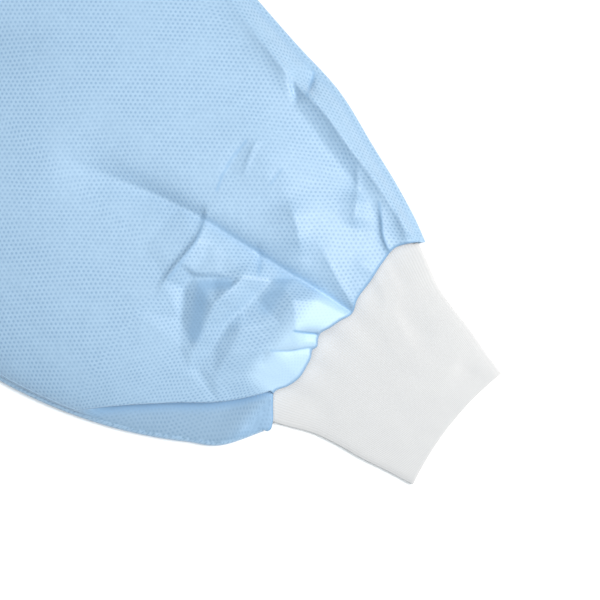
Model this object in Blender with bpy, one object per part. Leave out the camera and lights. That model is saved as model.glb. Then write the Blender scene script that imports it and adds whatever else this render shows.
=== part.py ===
"""A disposable isolation gown, laid out flat on its back with the front up and the sleeves spread.

Metres, +Z up, +X to the wearer's left and +Y from hem to neck. The gown lies on z = 0, and the
origin is under the middle of its outline. Every piece of cloth is a wall of real thickness.
"""

import math
from collections import namedtuple

import bmesh
import bpy
from mathutils import Vector

# Cloth
CLOTH = 0.0010
KNIT = 0.0012
SEAM_GAP = 0.0004

# Body, measured from the neck end of the shoulder seam
GOWN_LENGTH = 1.180
NECK_TIE_RISE = 0.100
HEM_Y = -(GOWN_LENGTH + NECK_TIE_RISE) / 2
NECK_Y = HEM_Y + GOWN_LENGTH
NECK_HALF = 0.095
FRONT_NECK_DROP = 0.115
BACK_NECK_DROP = 0.028
SHOULDER_HALF = 0.315
SHOULDER_DROP = 0.048
UNDERARM_HALF = 0.308
UNDERARM_DROP = 0.330
WAIST_DROP = 0.500
HEM_HALF = 0.370
HEM_CORNER_LIFT = 0.014
BACK_OVERLAP = 0.050
NECK_U = NECK_HALF / SHOULDER_HALF

# How the front stands over the back
SIDE_TOP = 2 * CLOTH + SEAM_GAP
FRONT_CROWN = 0.0036
ARMHOLE_CROWN = 0.0071
ARMHOLE_REACH = 0.070
SHOULDER_REACH = 0.200
CALM_REACH = 0.050

# Sleeve, in its own frame: along its length from the cuff seam, and across from its centre line
SLEEVE_ANGLE = math.radians(40.5)
UNDERARM_SEAM = 0.340
LOWER_HALF_AT_ARMHOLE = 0.118
SEAM_ARC = 0.007
FOLDED_EDGE = 0.0044
PLEAT_KEEPS = 0.30
PLEAT_STEP = 0.004
EDGE_CALM = 0.16

# Knit cuff
CUFF_LENGTH = 0.070
CUFF_MOUTH_ARC = 0.0055
CUFF_CROWN = 0.0014
CUFF_SEAM_EDGE = 0.0044
CUFF_MOUTH_EDGE = 0.0036

# Binding and ties
BINDING_WIDTH = 0.012
NECK_TIE_WIDTH = 0.014
WAIST_TIE_WIDTH = 0.025

# Mesh counts
FRONT_GRID = (28, 34)
BACK_GRID = (16, 12)
RING_TOP = 24
RING_EDGE = 3
RING_BOTTOM = 6
SLEEVE_SECTIONS = 22
CUFF_SECTIONS = 6

BLUE = (0.46, 0.68, 0.88)
WHITE = (0.80, 0.80, 0.80)

Section = namedtuple("Section", "along upper lower loft")
SLEEVE_SHAPE = [
    Section(0.000, 0.0570, 0.0570, 0.0030),
    Section(0.010, 0.0605, 0.0760, 0.0105),
    Section(0.025, 0.0665, 0.0875, 0.0160),
    Section(0.050, 0.0757, 0.1020, 0.0205),
    Section(0.078, 0.0862, 0.1145, 0.0230),
    Section(0.110, 0.0930, 0.1250, 0.0240),
    Section(0.160, 0.0990, 0.1300, 0.0215),
    Section(0.240, 0.1015, 0.1260, 0.0130),
]

CuffSection = namedtuple("CuffSection", "below half")
CUFF_SHAPE = [
    CuffSection(0.000, 0.0570),
    CuffSection(0.007, 0.0515),
    CuffSection(0.020, 0.0440),
    CuffSection(0.034, 0.0415),
    CuffSection(0.050, 0.0380),
    CuffSection(0.070, 0.0335),
]

# The lengthwise pleat under the forearm: the upper layer ends in a lip over a lower strip
PleatPoint = namedtuple("PleatPoint", "along across")
PLEAT_LIP = [
    PleatPoint(0.0000, -0.0360),
    PleatPoint(0.0087, -0.0429),
    PleatPoint(0.0166, -0.0528),
    PleatPoint(0.0442, -0.0796),
    PleatPoint(0.0776, -0.1144),
]

# Folds, each a soft ridge, or a trough where the height is negative
Fold = namedtuple("Fold", "along0 across0 along1 across1 width height")
LEFT_SLEEVE_FOLDS = [
    Fold(0.149, -0.020, 0.089, 0.001, 0.014, -0.0060),
    Fold(0.089, 0.001, 0.036, 0.006, 0.010, -0.0060),
    Fold(0.036, 0.006, 0.011, 0.010, 0.006, -0.0040),
    Fold(0.140, 0.010, 0.050, 0.024, 0.014, 0.0045),
    Fold(0.121, 0.080, 0.082, 0.067, 0.009, -0.0050),
    Fold(0.082, 0.067, 0.026, 0.057, 0.008, -0.0050),
    Fold(0.103, 0.086, 0.012, 0.058, 0.008, 0.0030),
    Fold(0.059, -0.020, 0.047, -0.060, 0.007, 0.0050),
    Fold(0.077, -0.022, 0.067, -0.045, 0.009, -0.0045),
    Fold(0.045, -0.029, 0.042, -0.060, 0.007, -0.0040),
    Fold(0.027, -0.003, 0.010, 0.004, 0.008, 0.0040),
    Fold(0.022, -0.016, 0.008, -0.007, 0.004, -0.0030),
    Fold(0.090, -0.001, 0.082, -0.043, 0.006, -0.0025),
    Fold(0.026, 0.055, 0.008, 0.041, 0.005, -0.0040),
    Fold(0.310, -0.060, 0.190, 0.040, 0.020, 0.0045),
    Fold(0.270, 0.010, 0.170, 0.080, 0.018, -0.0040),
    Fold(0.430, 0.050, 0.300, 0.060, 0.022, 0.0040),
]
RIGHT_SLEEVE_FOLDS = [
    Fold(0.165, 0.045, 0.090, 0.018, 0.014, -0.0060),
    Fold(0.090, 0.018, 0.016, -0.002, 0.009, -0.0055),
    Fold(0.150, -0.050, 0.060, -0.030, 0.015, 0.0050),
    Fold(0.120, -0.080, 0.055, -0.055, 0.010, -0.0045),
    Fold(0.110, 0.070, 0.020, 0.052, 0.009, 0.0035),
    Fold(0.070, 0.045, 0.012, 0.030, 0.007, -0.0045),
    Fold(0.050, -0.022, 0.012, -0.018, 0.007, 0.0040),
    Fold(0.045, -0.045, 0.010, -0.030, 0.006, -0.0040),
    Fold(0.240, 0.060, 0.150, -0.040, 0.018, 0.0050),
    Fold(0.330, -0.050, 0.220, 0.000, 0.020, -0.0045),
    Fold(0.430, 0.040, 0.320, 0.070, 0.022, 0.0040),
]

# Folds of the front, with x to the wearer's left and drop down from the neck
FrontFold = namedtuple("FrontFold", "x0 drop0 x1 drop1 width height")
FRONT_FOLDS = [
    FrontFold(-0.215, 0.330, -0.120, 1.120, 0.030, 0.0080),
    FrontFold(0.235, 0.360, 0.165, 1.140, 0.032, 0.0085),
    FrontFold(-0.040, 0.260, 0.030, 1.080, 0.034, 0.0060),
    FrontFold(-0.270, 0.620, -0.250, 1.175, 0.026, 0.0075),
    FrontFold(0.285, 0.700, 0.295, 1.175, 0.024, 0.0070),
    FrontFold(0.090, 0.780, 0.070, 1.180, 0.028, 0.0065),
    FrontFold(0.265, 0.150, 0.110, 0.330, 0.030, 0.0070),
    FrontFold(-0.270, 0.140, -0.130, 0.350, 0.032, 0.0065),
    FrontFold(-0.120, 0.480, 0.140, 0.560, 0.030, 0.0045),
]


def lerp(a, b, t):
    return a + (b - a) * t


def smooth(t):
    t = min(max(t, 0.0), 1.0)
    return t * t * (3 - 2 * t)


def through(rows, key, value, at):
    """A smooth curve of rows' value over rows' key, with flat ends, read at one place."""
    keys = [getattr(row, key) for row in rows]
    values = [getattr(row, value) for row in rows]
    if at <= keys[0]:
        return values[0]
    if at >= keys[-1]:
        return values[-1]
    i = max(k for k in range(len(keys) - 1) if keys[k] <= at)

    def slope(k):
        low, high = max(k - 1, 0), min(k + 1, len(keys) - 1)
        return (values[high] - values[low]) / (keys[high] - keys[low])

    span = keys[i + 1] - keys[i]
    t = (at - keys[i]) / span
    start = (1 + 2 * t) * (1 - t) ** 2 * values[i] + t * (1 - t) ** 2 * span * slope(i)
    end = t * t * (3 - 2 * t) * values[i + 1] + t * t * (t - 1) * span * slope(i + 1)
    return start + end


def ridge(point, start, end, width, height):
    """Height that one fold adds at a point in plan: a soft ridge that fades at both ends."""
    run = end - start
    share = (point - start).dot(run) / run.length_squared
    if not 0 < share < 1:
        return 0.0
    aside = abs((point - start).cross(run)) / run.length
    return height * math.exp(-((aside / width) ** 2)) * math.sin(math.pi * share) ** 0.6


def clear_scene():
    for old in list(bpy.data.objects):
        bpy.data.objects.remove(old)


def cloth_material(name, colour, roughness):
    material = bpy.data.materials.new(name)
    material.use_nodes = True
    shader = material.node_tree.nodes["Principled BSDF"]
    shader.inputs["Base Color"].default_value = (*colour, 1.0)
    shader.inputs["Roughness"].default_value = roughness
    shader.inputs["Metallic"].default_value = 0.0
    return material


def cloth_piece(name, counts, place, thickness, material, tube=False, mirrored=False):
    """A grid of (a, b) from 0 to 1, each put at place(a, b) on the cloth's outer face, given a wall.

    A tube's first and last column lie on each other and are welded.
    """
    bm = bmesh.new()
    bmesh.ops.create_grid(bm, x_segments=counts[0], y_segments=counts[1], size=0.5)
    for vert in bm.verts:
        vert.co = place(vert.co.x + 0.5, vert.co.y + 0.5)
    if tube:
        bmesh.ops.remove_doubles(bm, verts=bm.verts, dist=1e-6)
    if mirrored:
        for vert in bm.verts:
            vert.co.x = -vert.co.x
        bmesh.ops.reverse_faces(bm, faces=bm.faces)
    mesh = bpy.data.meshes.new(name)
    bm.to_mesh(mesh)
    bm.free()
    mesh.shade_smooth()
    piece = bpy.data.objects.new(name, mesh)
    bpy.context.scene.collection.objects.link(piece)
    piece.data.materials.append(material)
    wall = piece.modifiers.new("Wall", "SOLIDIFY")
    wall.thickness = thickness
    wall.offset = -1
    return piece


def half_width(y):
    """Half the body's width at a height, down the armhole and the side seam."""
    underarm_y = NECK_Y - UNDERARM_DROP
    shoulder_y = NECK_Y - SHOULDER_DROP
    if y >= underarm_y:
        return lerp(UNDERARM_HALF, SHOULDER_HALF, (y - underarm_y) / (shoulder_y - underarm_y))
    return lerp(HEM_HALF, UNDERARM_HALF, (y - HEM_Y) / (underarm_y - HEM_Y))


def side_y(v):
    """Height of the body's edge, v running from 0 at the hem to 1 at the shoulder tip."""
    return lerp(HEM_Y + HEM_CORNER_LIFT, NECK_Y - SHOULDER_DROP, v)


def row_place(b, rows):
    """Place up the body of one row of a grid, with a row exactly at the underarm."""
    underarm = (NECK_Y - UNDERARM_DROP - side_y(0)) / (side_y(1) - side_y(0))
    underarm_row = round(rows * underarm) / rows
    if b <= underarm_row:
        return underarm * b / underarm_row
    return lerp(underarm, 1, (b - underarm_row) / (1 - underarm_row))


def shoulder_line(x):
    """Height of the shoulder seam over a place across the body, level inside the neck."""
    return NECK_Y - SHOULDER_DROP * max(abs(x) - NECK_HALF, 0) / (SHOULDER_HALF - NECK_HALF)


def neckline(x, neck_drop):
    return NECK_Y - neck_drop * math.sqrt(max(1 - (x / NECK_HALF) ** 2, 0))


def body_point(u, v, neck_drop):
    """Plan place of a point of a body panel, u running across it from -1 to 1 at its edges."""
    top_x = u * SHOULDER_HALF
    top = neckline(top_x, neck_drop) if abs(u) < NECK_U else shoulder_line(top_x)
    return Vector((u * half_width(side_y(v)), lerp(HEM_Y + HEM_CORNER_LIFT * u * u, top, v)))


def armhole_arch(q):
    """How far the cloth stands open along the armhole, with q from -1 to 1 at its ends."""
    return max(1 - q * q, 0.0) ** 0.8


def front_height(plan):
    """Height of the front's outer face over a place on the body."""
    from_shoulder = shoulder_line(plan.x) - plan.y
    side = half_width(plan.y)
    u = min(abs(plan.x) / side, 1)
    height = SIDE_TOP + FRONT_CROWN * (1 - u * u) ** 0.6 * smooth(from_shoulder / SHOULDER_REACH)
    q = 2 * (plan.y - NECK_Y + UNDERARM_DROP) / (UNDERARM_DROP - SHOULDER_DROP) - 1
    from_side = side * (1 - u)
    height += ARMHOLE_CROWN * armhole_arch(q) * (1 - smooth(from_side / ARMHOLE_REACH))
    calm = smooth(from_side / CALM_REACH) * smooth(from_shoulder / CALM_REACH)
    for fold in FRONT_FOLDS:
        start = Vector((fold.x0, NECK_Y - fold.drop0))
        end = Vector((fold.x1, NECK_Y - fold.drop1))
        height += calm * ridge(plan, start, end, fold.width, fold.height)
    return height


def make_front(material):
    neck_columns = round(FRONT_GRID[0] * (1 - NECK_U) / 2)
    neck_a = neck_columns / FRONT_GRID[0]

    def place(a, b):
        if a < neck_a:
            u = lerp(-1, -NECK_U, a / neck_a)
        elif a > 1 - neck_a:
            u = lerp(NECK_U, 1, (a - 1 + neck_a) / neck_a)
        else:
            u = NECK_U * math.sin(lerp(-0.5, 0.5, (a - neck_a) / (1 - 2 * neck_a)) * math.pi)
        plan = body_point(u, row_place(b, FRONT_GRID[1]), FRONT_NECK_DROP)
        return Vector((*plan, front_height(plan)))

    cloth_piece("front_panel", FRONT_GRID, place, CLOTH, material)


def make_back(name, raised, material, mirrored):
    """A back panel, from the side seam to past the centre. The upper one is raised over the lower."""
    overlap = (-0.050, -0.036, -0.022, 0.0, 0.022, 0.036, 0.054, 0.070)

    def place(a, b):
        v = row_place(b, BACK_GRID[1])
        column = round(a * BACK_GRID[0])
        if column < len(overlap):
            u = overlap[column] / half_width(side_y(v))
        else:
            u = lerp(NECK_U, 1, (column - len(overlap)) / (BACK_GRID[0] - len(overlap)))
        plan = body_point(u, v, BACK_NECK_DROP)
        over = CLOTH + SEAM_GAP if raised and column < len(overlap) - 1 else 0.0
        return Vector((*plan, CLOTH + over))

    cloth_piece(name, BACK_GRID, place, CLOTH, material, mirrored=mirrored)


def sleeve_axes():
    """Down the sleeve, across it, and the middle of its cuff seam, for the wearer's left sleeve."""
    down = Vector((math.cos(SLEEVE_ANGLE), -math.sin(SLEEVE_ANGLE)))
    across = Vector((math.sin(SLEEVE_ANGLE), math.cos(SLEEVE_ANGLE)))
    underarm = Vector((UNDERARM_HALF, NECK_Y - UNDERARM_DROP))
    wrist = underarm + across * LOWER_HALF_AT_ARMHOLE + down * UNDERARM_SEAM
    return down, across, wrist


def sleeve_shape():
    """The sleeve's sections, ending at the underarm and at the shoulder tip."""
    down, across, wrist = sleeve_axes()
    tip = Vector((SHOULDER_HALF, NECK_Y - SHOULDER_DROP)) - wrist
    loft = SIDE_TOP + ARMHOLE_CROWN - FOLDED_EDGE
    low_end = Section(UNDERARM_SEAM, None, LOWER_HALF_AT_ARMHOLE, loft)
    high_end = Section(-tip.dot(down), tip.dot(across), None, None)
    return SLEEVE_SHAPE + [low_end], SLEEVE_SHAPE + [high_end]


def ring_points():
    """(q, angle) round a flattened tube: over the top, round one edge, back under, round the other."""
    top = [(lerp(-1, 1, k / RING_TOP), 90) for k in range(RING_TOP + 1)]
    right = [(1, lerp(90, -90, k / RING_EDGE)) for k in range(1, RING_EDGE)]
    under = [(lerp(1, -1, k / RING_BOTTOM), -90) for k in range(RING_BOTTOM + 1)]
    left = [(-1, lerp(-90, -270, k / RING_EDGE)) for k in range(1, RING_EDGE)]
    ring = top + right + under + left
    return ring + ring[:1]


def ring_place(ring, a, half, edge):
    """(across from the ring's middle, height, whether on top) of one point of a flattened tube."""
    q, angle = ring[round(a * (len(ring) - 1))]
    radius = edge / 2
    turn = math.radians(angle)
    across = q * (half - radius) + radius * math.cos(turn)
    return across, radius + radius * math.sin(turn), angle == 90


def seam_arc(q):
    return SEAM_ARC * (1 - q**6)


def above_pleat(along, across):
    """0 on the strip under the pleat's lip, 1 on the layer above it."""
    lip = through(PLEAT_LIP, "along", "across", along)
    if along > PLEAT_LIP[-1].along:
        return 1.0
    aside = (across - lip) * math.cos(math.radians(45))
    return smooth(0.5 + aside / PLEAT_STEP)


def sleeve_rise(along, across, q, folds, pleated, loft, to_armhole):
    """How far the upper layer stands above the folded edges."""
    rise = loft * armhole_arch(q)
    if pleated:
        rise *= lerp(PLEAT_KEEPS, 1, above_pleat(along, across))
    calm = smooth((1 - abs(q)) / EDGE_CALM) * smooth(to_armhole / CALM_REACH)
    here = Vector((along, across))
    for fold in folds:
        start, end = Vector((fold.along0, fold.across0)), Vector((fold.along1, fold.across1))
        rise += calm * ridge(here, start, end, fold.width, fold.height)
    return max(rise, 0.0)


def make_sleeve(name, folds, pleated, material, mirrored):
    down, across_axis, wrist = sleeve_axes()
    low_shape, high_shape = sleeve_shape()
    low_end = low_shape[-1].along - SEAM_GAP / math.cos(SLEEVE_ANGLE)
    # The wall of the upper edge grows toward the body at the shoulder tip, so it starts further off
    high_end = high_shape[-1].along - SEAM_GAP / math.cos(SLEEVE_ANGLE)
    high_end -= CLOTH * math.tan(SLEEVE_ANGLE)
    ring = ring_points()

    def place(a, b):
        q = ring[round(a * (len(ring) - 1))][0]
        reach = b**1.5
        share = 0.5 + ring_place(ring, a, 1.0, FOLDED_EDGE / LOWER_HALF_AT_ARMHOLE)[0] / 2
        armhole = lerp(low_end, high_end, share)
        along = lerp(seam_arc(q) + SEAM_GAP / 2, low_end, reach)
        along += (armhole - low_end) * reach**2.2
        upper = through(high_shape, "along", "upper", along)
        lower = through(low_shape, "along", "lower", along)
        across, height, on_top = ring_place(ring, a, (upper + lower) / 2, FOLDED_EDGE)
        across += (upper - lower) / 2
        if on_top:
            loft = through(low_shape, "along", "loft", along)
            height += sleeve_rise(along, across, q, folds, pleated, loft, armhole - along)
        plan = wrist - down * along + across_axis * across
        return Vector((*plan, height))

    counts = (len(ring) - 1, SLEEVE_SECTIONS)
    cloth_piece(name, counts, place, CLOTH, material, tube=True, mirrored=mirrored)


def make_cuff(name, material, mirrored):
    down, across_axis, wrist = sleeve_axes()
    ring = ring_points()

    def place(a, b):
        q = ring[round(a * (len(ring) - 1))][0]
        below = (1 - b) * CUFF_LENGTH
        edge = lerp(CUFF_MOUTH_EDGE, CUFF_SEAM_EDGE, b)
        half = through(CUFF_SHAPE, "below", "half", below)
        across, height, on_top = ring_place(ring, a, half, edge)
        if on_top:
            height += CUFF_CROWN * (1 - q * q) ** 0.6
        seam = seam_arc(q) - SEAM_GAP / 2
        mouth = -CUFF_LENGTH + CUFF_MOUTH_ARC * (1 - q * q)
        plan = wrist - down * lerp(mouth, seam, b) + across_axis * across
        return Vector((plan.x, plan.y, height))

    counts = (len(ring) - 1, CUFF_SECTIONS)
    cloth_piece(name, counts, place, KNIT, material, tube=True, mirrored=mirrored)


def make_neck_binding(material):
    """A narrow strip along the front neckline, laid on the front."""

    def place(a, b):
        turn = math.radians(lerp(-88, 88, a))
        edge = Vector((NECK_HALF * math.sin(turn), NECK_Y - FRONT_NECK_DROP * math.cos(turn)))
        outward = Vector((FRONT_NECK_DROP * math.sin(turn), -NECK_HALF * math.cos(turn))).normalized()
        plan = edge + outward * (0.001 + BINDING_WIDTH * (1 - b))
        return Vector((*plan, front_height(plan) + 1.5 * SEAM_GAP + CLOTH))

    cloth_piece("neck_binding", (28, 1), place, CLOTH, material)


def along_path(path, share):
    """A point of a smooth curve through a path's points, and the way it runs there in plan."""
    spans = len(path) - 1
    i = min(int(share * spans), spans - 1)
    t = share * spans - i
    before = path[i - 1] if i else path[0] * 2 - path[1]
    after = path[i + 2] if i + 2 < len(path) else path[-1] * 2 - path[-2]
    start, end = path[i], path[i + 1]
    first, second = (end - before) / 2, (after - start) / 2
    drop, bend = end - start - first, second - first
    cubic, square = bend - 2 * drop, 3 * drop - bend
    point = start + first * t + square * t * t + cubic * t**3
    run = first + square * 2 * t + cubic * 3 * t * t
    return point, run.xy.normalized()


def make_tie(name, path, width, sections, material, mirrored):
    """A flat ribbon along a path of the middle of its underside."""
    path = [Vector(point) for point in path]

    def place(a, b):
        point, run = along_path(path, b)
        plan = point.xy + Vector((run.y, -run.x)) * width * (a - 0.5)
        return Vector((*plan, point.z + CLOTH))

    cloth_piece(name, (2, sections), place, CLOTH, material, mirrored=mirrored)


def neck_tie_path(lifted):
    """From the neck edge of a back panel's inner corner, up and out over the far shoulder."""
    root_x = BACK_OVERLAP - NECK_TIE_WIDTH
    edge = Vector((root_x, neckline(root_x, BACK_NECK_DROP)))
    slope = BACK_NECK_DROP * root_x / NECK_HALF**2 / math.sqrt(1 - (root_x / NECK_HALF) ** 2)
    outward = Vector((-slope, 1)).normalized()
    first = edge + outward * SEAM_GAP
    second = edge + outward * 0.024
    peak = NECK_Y + NECK_TIE_RISE - NECK_TIE_WIDTH / 2
    lift = CLOTH + SEAM_GAP if lifted else 0.0
    return [
        (*first, lift),
        (*second, 0.0),
        (0.042, NECK_Y + 0.048, 0.0),
        (0.078, peak - 0.010, 0.0),
        (0.125, peak, 0.0),
        (0.180, NECK_Y + 0.066, 0.0),
        (0.232, NECK_Y + 0.062, 0.0),
        (0.280, NECK_Y + 0.078, 0.0),
    ]


def waist_tie_path():
    """From the side seam at the waist, hanging down beside the body in a loose wave."""
    waist_y = NECK_Y - WAIST_DROP
    side = Vector((half_width(waist_y), waist_y))
    flare = (HEM_HALF - UNDERARM_HALF) / (GOWN_LENGTH - UNDERARM_DROP)
    outward = Vector((1, flare)).normalized()
    first = side + outward * SEAM_GAP
    second = side + outward * 0.026
    steps = [
        (0.060, -0.022),
        (0.084, -0.080),
        (0.088, -0.160),
        (0.074, -0.260),
        (0.070, -0.360),
        (0.086, -0.450),
        (0.100, -0.540),
        (0.096, -0.620),
        (0.104, -0.680),
    ]
    free = [(side.x + x, side.y + y, 0.0) for x, y in steps]
    return [(*first, 0.0), (*second, 0.0), *free]


def main():
    clear_scene()
    blue = cloth_material("gown_cloth", BLUE, 0.75)
    white = cloth_material("knit", WHITE, 0.9)
    make_front(blue)
    make_back("back_panel_left", True, blue, mirrored=False)
    make_back("back_panel_right", False, blue, mirrored=True)
    make_sleeve("sleeve_left", LEFT_SLEEVE_FOLDS, True, blue, mirrored=False)
    make_sleeve("sleeve_right", RIGHT_SLEEVE_FOLDS, False, blue, mirrored=True)
    make_cuff("cuff_left", white, mirrored=False)
    make_cuff("cuff_right", white, mirrored=True)
    make_neck_binding(blue)
    # Each back panel crosses the centre, so its tie comes from the other side of the neck
    make_tie("neck_tie_left", neck_tie_path(True), NECK_TIE_WIDTH, 28, blue, mirrored=True)
    make_tie("neck_tie_right", neck_tie_path(False), NECK_TIE_WIDTH, 28, blue, mirrored=False)
    make_tie("waist_tie_left", waist_tie_path(), WAIST_TIE_WIDTH, 36, blue, mirrored=False)
    make_tie("waist_tie_right", waist_tie_path(), WAIST_TIE_WIDTH, 36, blue, mirrored=True)


main()
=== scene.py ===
import math
from collections import namedtuple

import bmesh
import bpy
import numpy as np
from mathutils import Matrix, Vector
from mathutils.geometry import delaunay_2d_cdt


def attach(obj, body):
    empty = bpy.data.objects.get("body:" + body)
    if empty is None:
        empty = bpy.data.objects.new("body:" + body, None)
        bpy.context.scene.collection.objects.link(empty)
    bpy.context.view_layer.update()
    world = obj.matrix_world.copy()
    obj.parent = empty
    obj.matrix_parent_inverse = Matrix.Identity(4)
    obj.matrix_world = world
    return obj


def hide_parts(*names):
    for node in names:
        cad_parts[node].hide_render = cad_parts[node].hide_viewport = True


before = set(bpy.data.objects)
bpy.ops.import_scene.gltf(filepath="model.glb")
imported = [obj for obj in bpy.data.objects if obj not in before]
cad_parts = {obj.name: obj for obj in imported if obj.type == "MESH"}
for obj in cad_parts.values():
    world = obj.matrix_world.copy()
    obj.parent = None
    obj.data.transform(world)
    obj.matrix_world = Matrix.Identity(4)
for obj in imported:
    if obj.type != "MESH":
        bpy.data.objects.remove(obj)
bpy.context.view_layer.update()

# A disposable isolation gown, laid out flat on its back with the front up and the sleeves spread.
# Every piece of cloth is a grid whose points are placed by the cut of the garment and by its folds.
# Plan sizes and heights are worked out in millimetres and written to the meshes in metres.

MM = 0.001

# The cut, as in the solids, in mm
GOWN_LENGTH = 1180
NECK_TIE_RISE = 100
HEM_Y = -(GOWN_LENGTH + NECK_TIE_RISE) / 2
NECK_Y = HEM_Y + GOWN_LENGTH
NECK_HALF = 95
FRONT_NECK_DROP = 115
BACK_NECK_DROP = 28
SHOULDER_HALF = 315
SHOULDER_DROP = 48
UNDERARM_HALF = 308
UNDERARM_DROP = 330
WAIST_DROP = 500
HEM_HALF = 370
HEM_CORNER_LIFT = 14
BACK_OVERLAP = 50
NECK_U = NECK_HALF / SHOULDER_HALF

# Thicknesses, and how the cloth bows up
CLOTH = 1.0
KNIT = 1.2
SEAM_GAP = 0.4
SIDE_TOP = 2 * CLOTH + SEAM_GAP
FRONT_CROWN = 3.6
ARMHOLE_CROWN = 7.1
ARMHOLE_REACH = 70
SHOULDER_REACH = 200
CALM_REACH = 50

# The sleeves, cuffs and strips
SLEEVE_ANGLE = math.radians(40.5)
UNDERARM_SEAM = 340
LOWER_HALF_AT_ARMHOLE = 118
SEAM_ARC = 7
FOLDED_EDGE = 4.4
CUFF_LENGTH = 70
CUFF_MOUTH_ARC = 4.2
CUFF_MOUTH_SLANT = 1.2
CUFF_CROWN = 2.4
CROWN_AT_SEAM = 0.6
CUFF_BOW = 0.6
CUFF_SEAM_EDGE = 3.2
CUFF_MOUTH_EDGE = 2.8
RIM_GAP = 0.3
BINDING_WIDTH = 12
NECK_TIE_WIDTH = 14
WAIST_TIE_WIDTH = 25

# The camera looks straight down on a spot near the wearer's left forearm, measured from the
# middle of the cuff's mouth in mm
VIEW_WIDTH = 288
VIEW_FROM_CUFF = (-75.8, 62.4)
VIEW_HEIGHT = 8
LENS = 110
SENSOR = 36

# Sizes of lamps in metres, and their places in metres from the spot that the camera looks at
Lamp = namedtuple("Lamp", "name size power colour place")
LAMPS = [
    Lamp("window", 1.2, 80, (1.0, 0.95, 0.90), (2.20, 0.20, 2.26)),
    Lamp("softbox", 2.2, 29.5, (0.90, 0.965, 1.0), (0.1, 0.0, 1.9)),
]
WORLD_COLOUR = (0.90, 0.95, 1.0)
WORLD_LIGHT = 0.22

# The sleeve's outline and height: along it from the cuff seam, and out from its centre line
SLEEVE_ALONG = (0, 10, 25, 50, 78, 110, 160, 240)
SLEEVE_UPPER = (58.8, 63.6, 69.6, 77.9, 87.0, 91.2, 98, 101.5)
SLEEVE_LOWER = (60.8, 78.0, 89.2, 104, 116, 125, 130, 126)
SLEEVE_LOFT = (2.6, 6.2, 10.5, 15, 18.5, 20, 19, 13)

CUFF_BELOW = (0, 6, 12, 20, 30, 45, 58, 70)
CUFF_HALF = (56.4, 53.8, 50.8, 46.8, 43.8, 40.7, 37.2, 34.4)

# Where the gathered cloth ends over the knit, and where the pleat's lip runs
Rim = namedtuple("Rim", "across along")
LEFT_RIM = [
    Rim(-58, -1.8),
    Rim(-54, 0.6),
    Rim(-48.5, 5.3),
    Rim(-43.5, 8.7),
    Rim(-37, 5.7),
    Rim(-31, 4.2),
    Rim(-24, 5.0),
    Rim(-19, 6.4),
    Rim(-16.3, 8.0),
    Rim(-13.3, 7.4),
    Rim(-10.8, 9.1),
    Rim(-8.2, 10.2),
    Rim(-2.6, 8.5),
    Rim(3, 7.0),
    Rim(9.5, 4.9),
    Rim(16, 7.3),
    Rim(26.6, 8.2),
    Rim(38, 9.6),
    Rim(47.8, 9.3),
    Rim(53.6, 5.4),
    Rim(58.4, 1.3),
]
RIGHT_RIM = [
    Rim(-57, 0.5),
    Rim(-46, 6.6),
    Rim(-34, 3.6),
    Rim(-24, 8.4),
    Rim(-11, 5.0),
    Rim(-1, 9.4),
    Rim(12, 5.6),
    Rim(25, 8.8),
    Rim(38, 5.0),
    Rim(49, 6.8),
    Rim(57, 1.4),
]
LipPoint = namedtuple("LipPoint", "along across")
LEFT_LIP = [
    LipPoint(-4, -37.0),
    LipPoint(8.7, -41.5),
    LipPoint(15.1, -50.9),
    LipPoint(22.7, -60.5),
    LipPoint(42.8, -79.0),
    LipPoint(61.2, -96.6),
    LipPoint(78.0, -114.5),
]
RIGHT_LIP = [
    LipPoint(-4, -44.0),
    LipPoint(10, -55.0),
    LipPoint(24, -74.0),
    LipPoint(44, -94.0),
    LipPoint(56, -105.5),
]

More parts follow.
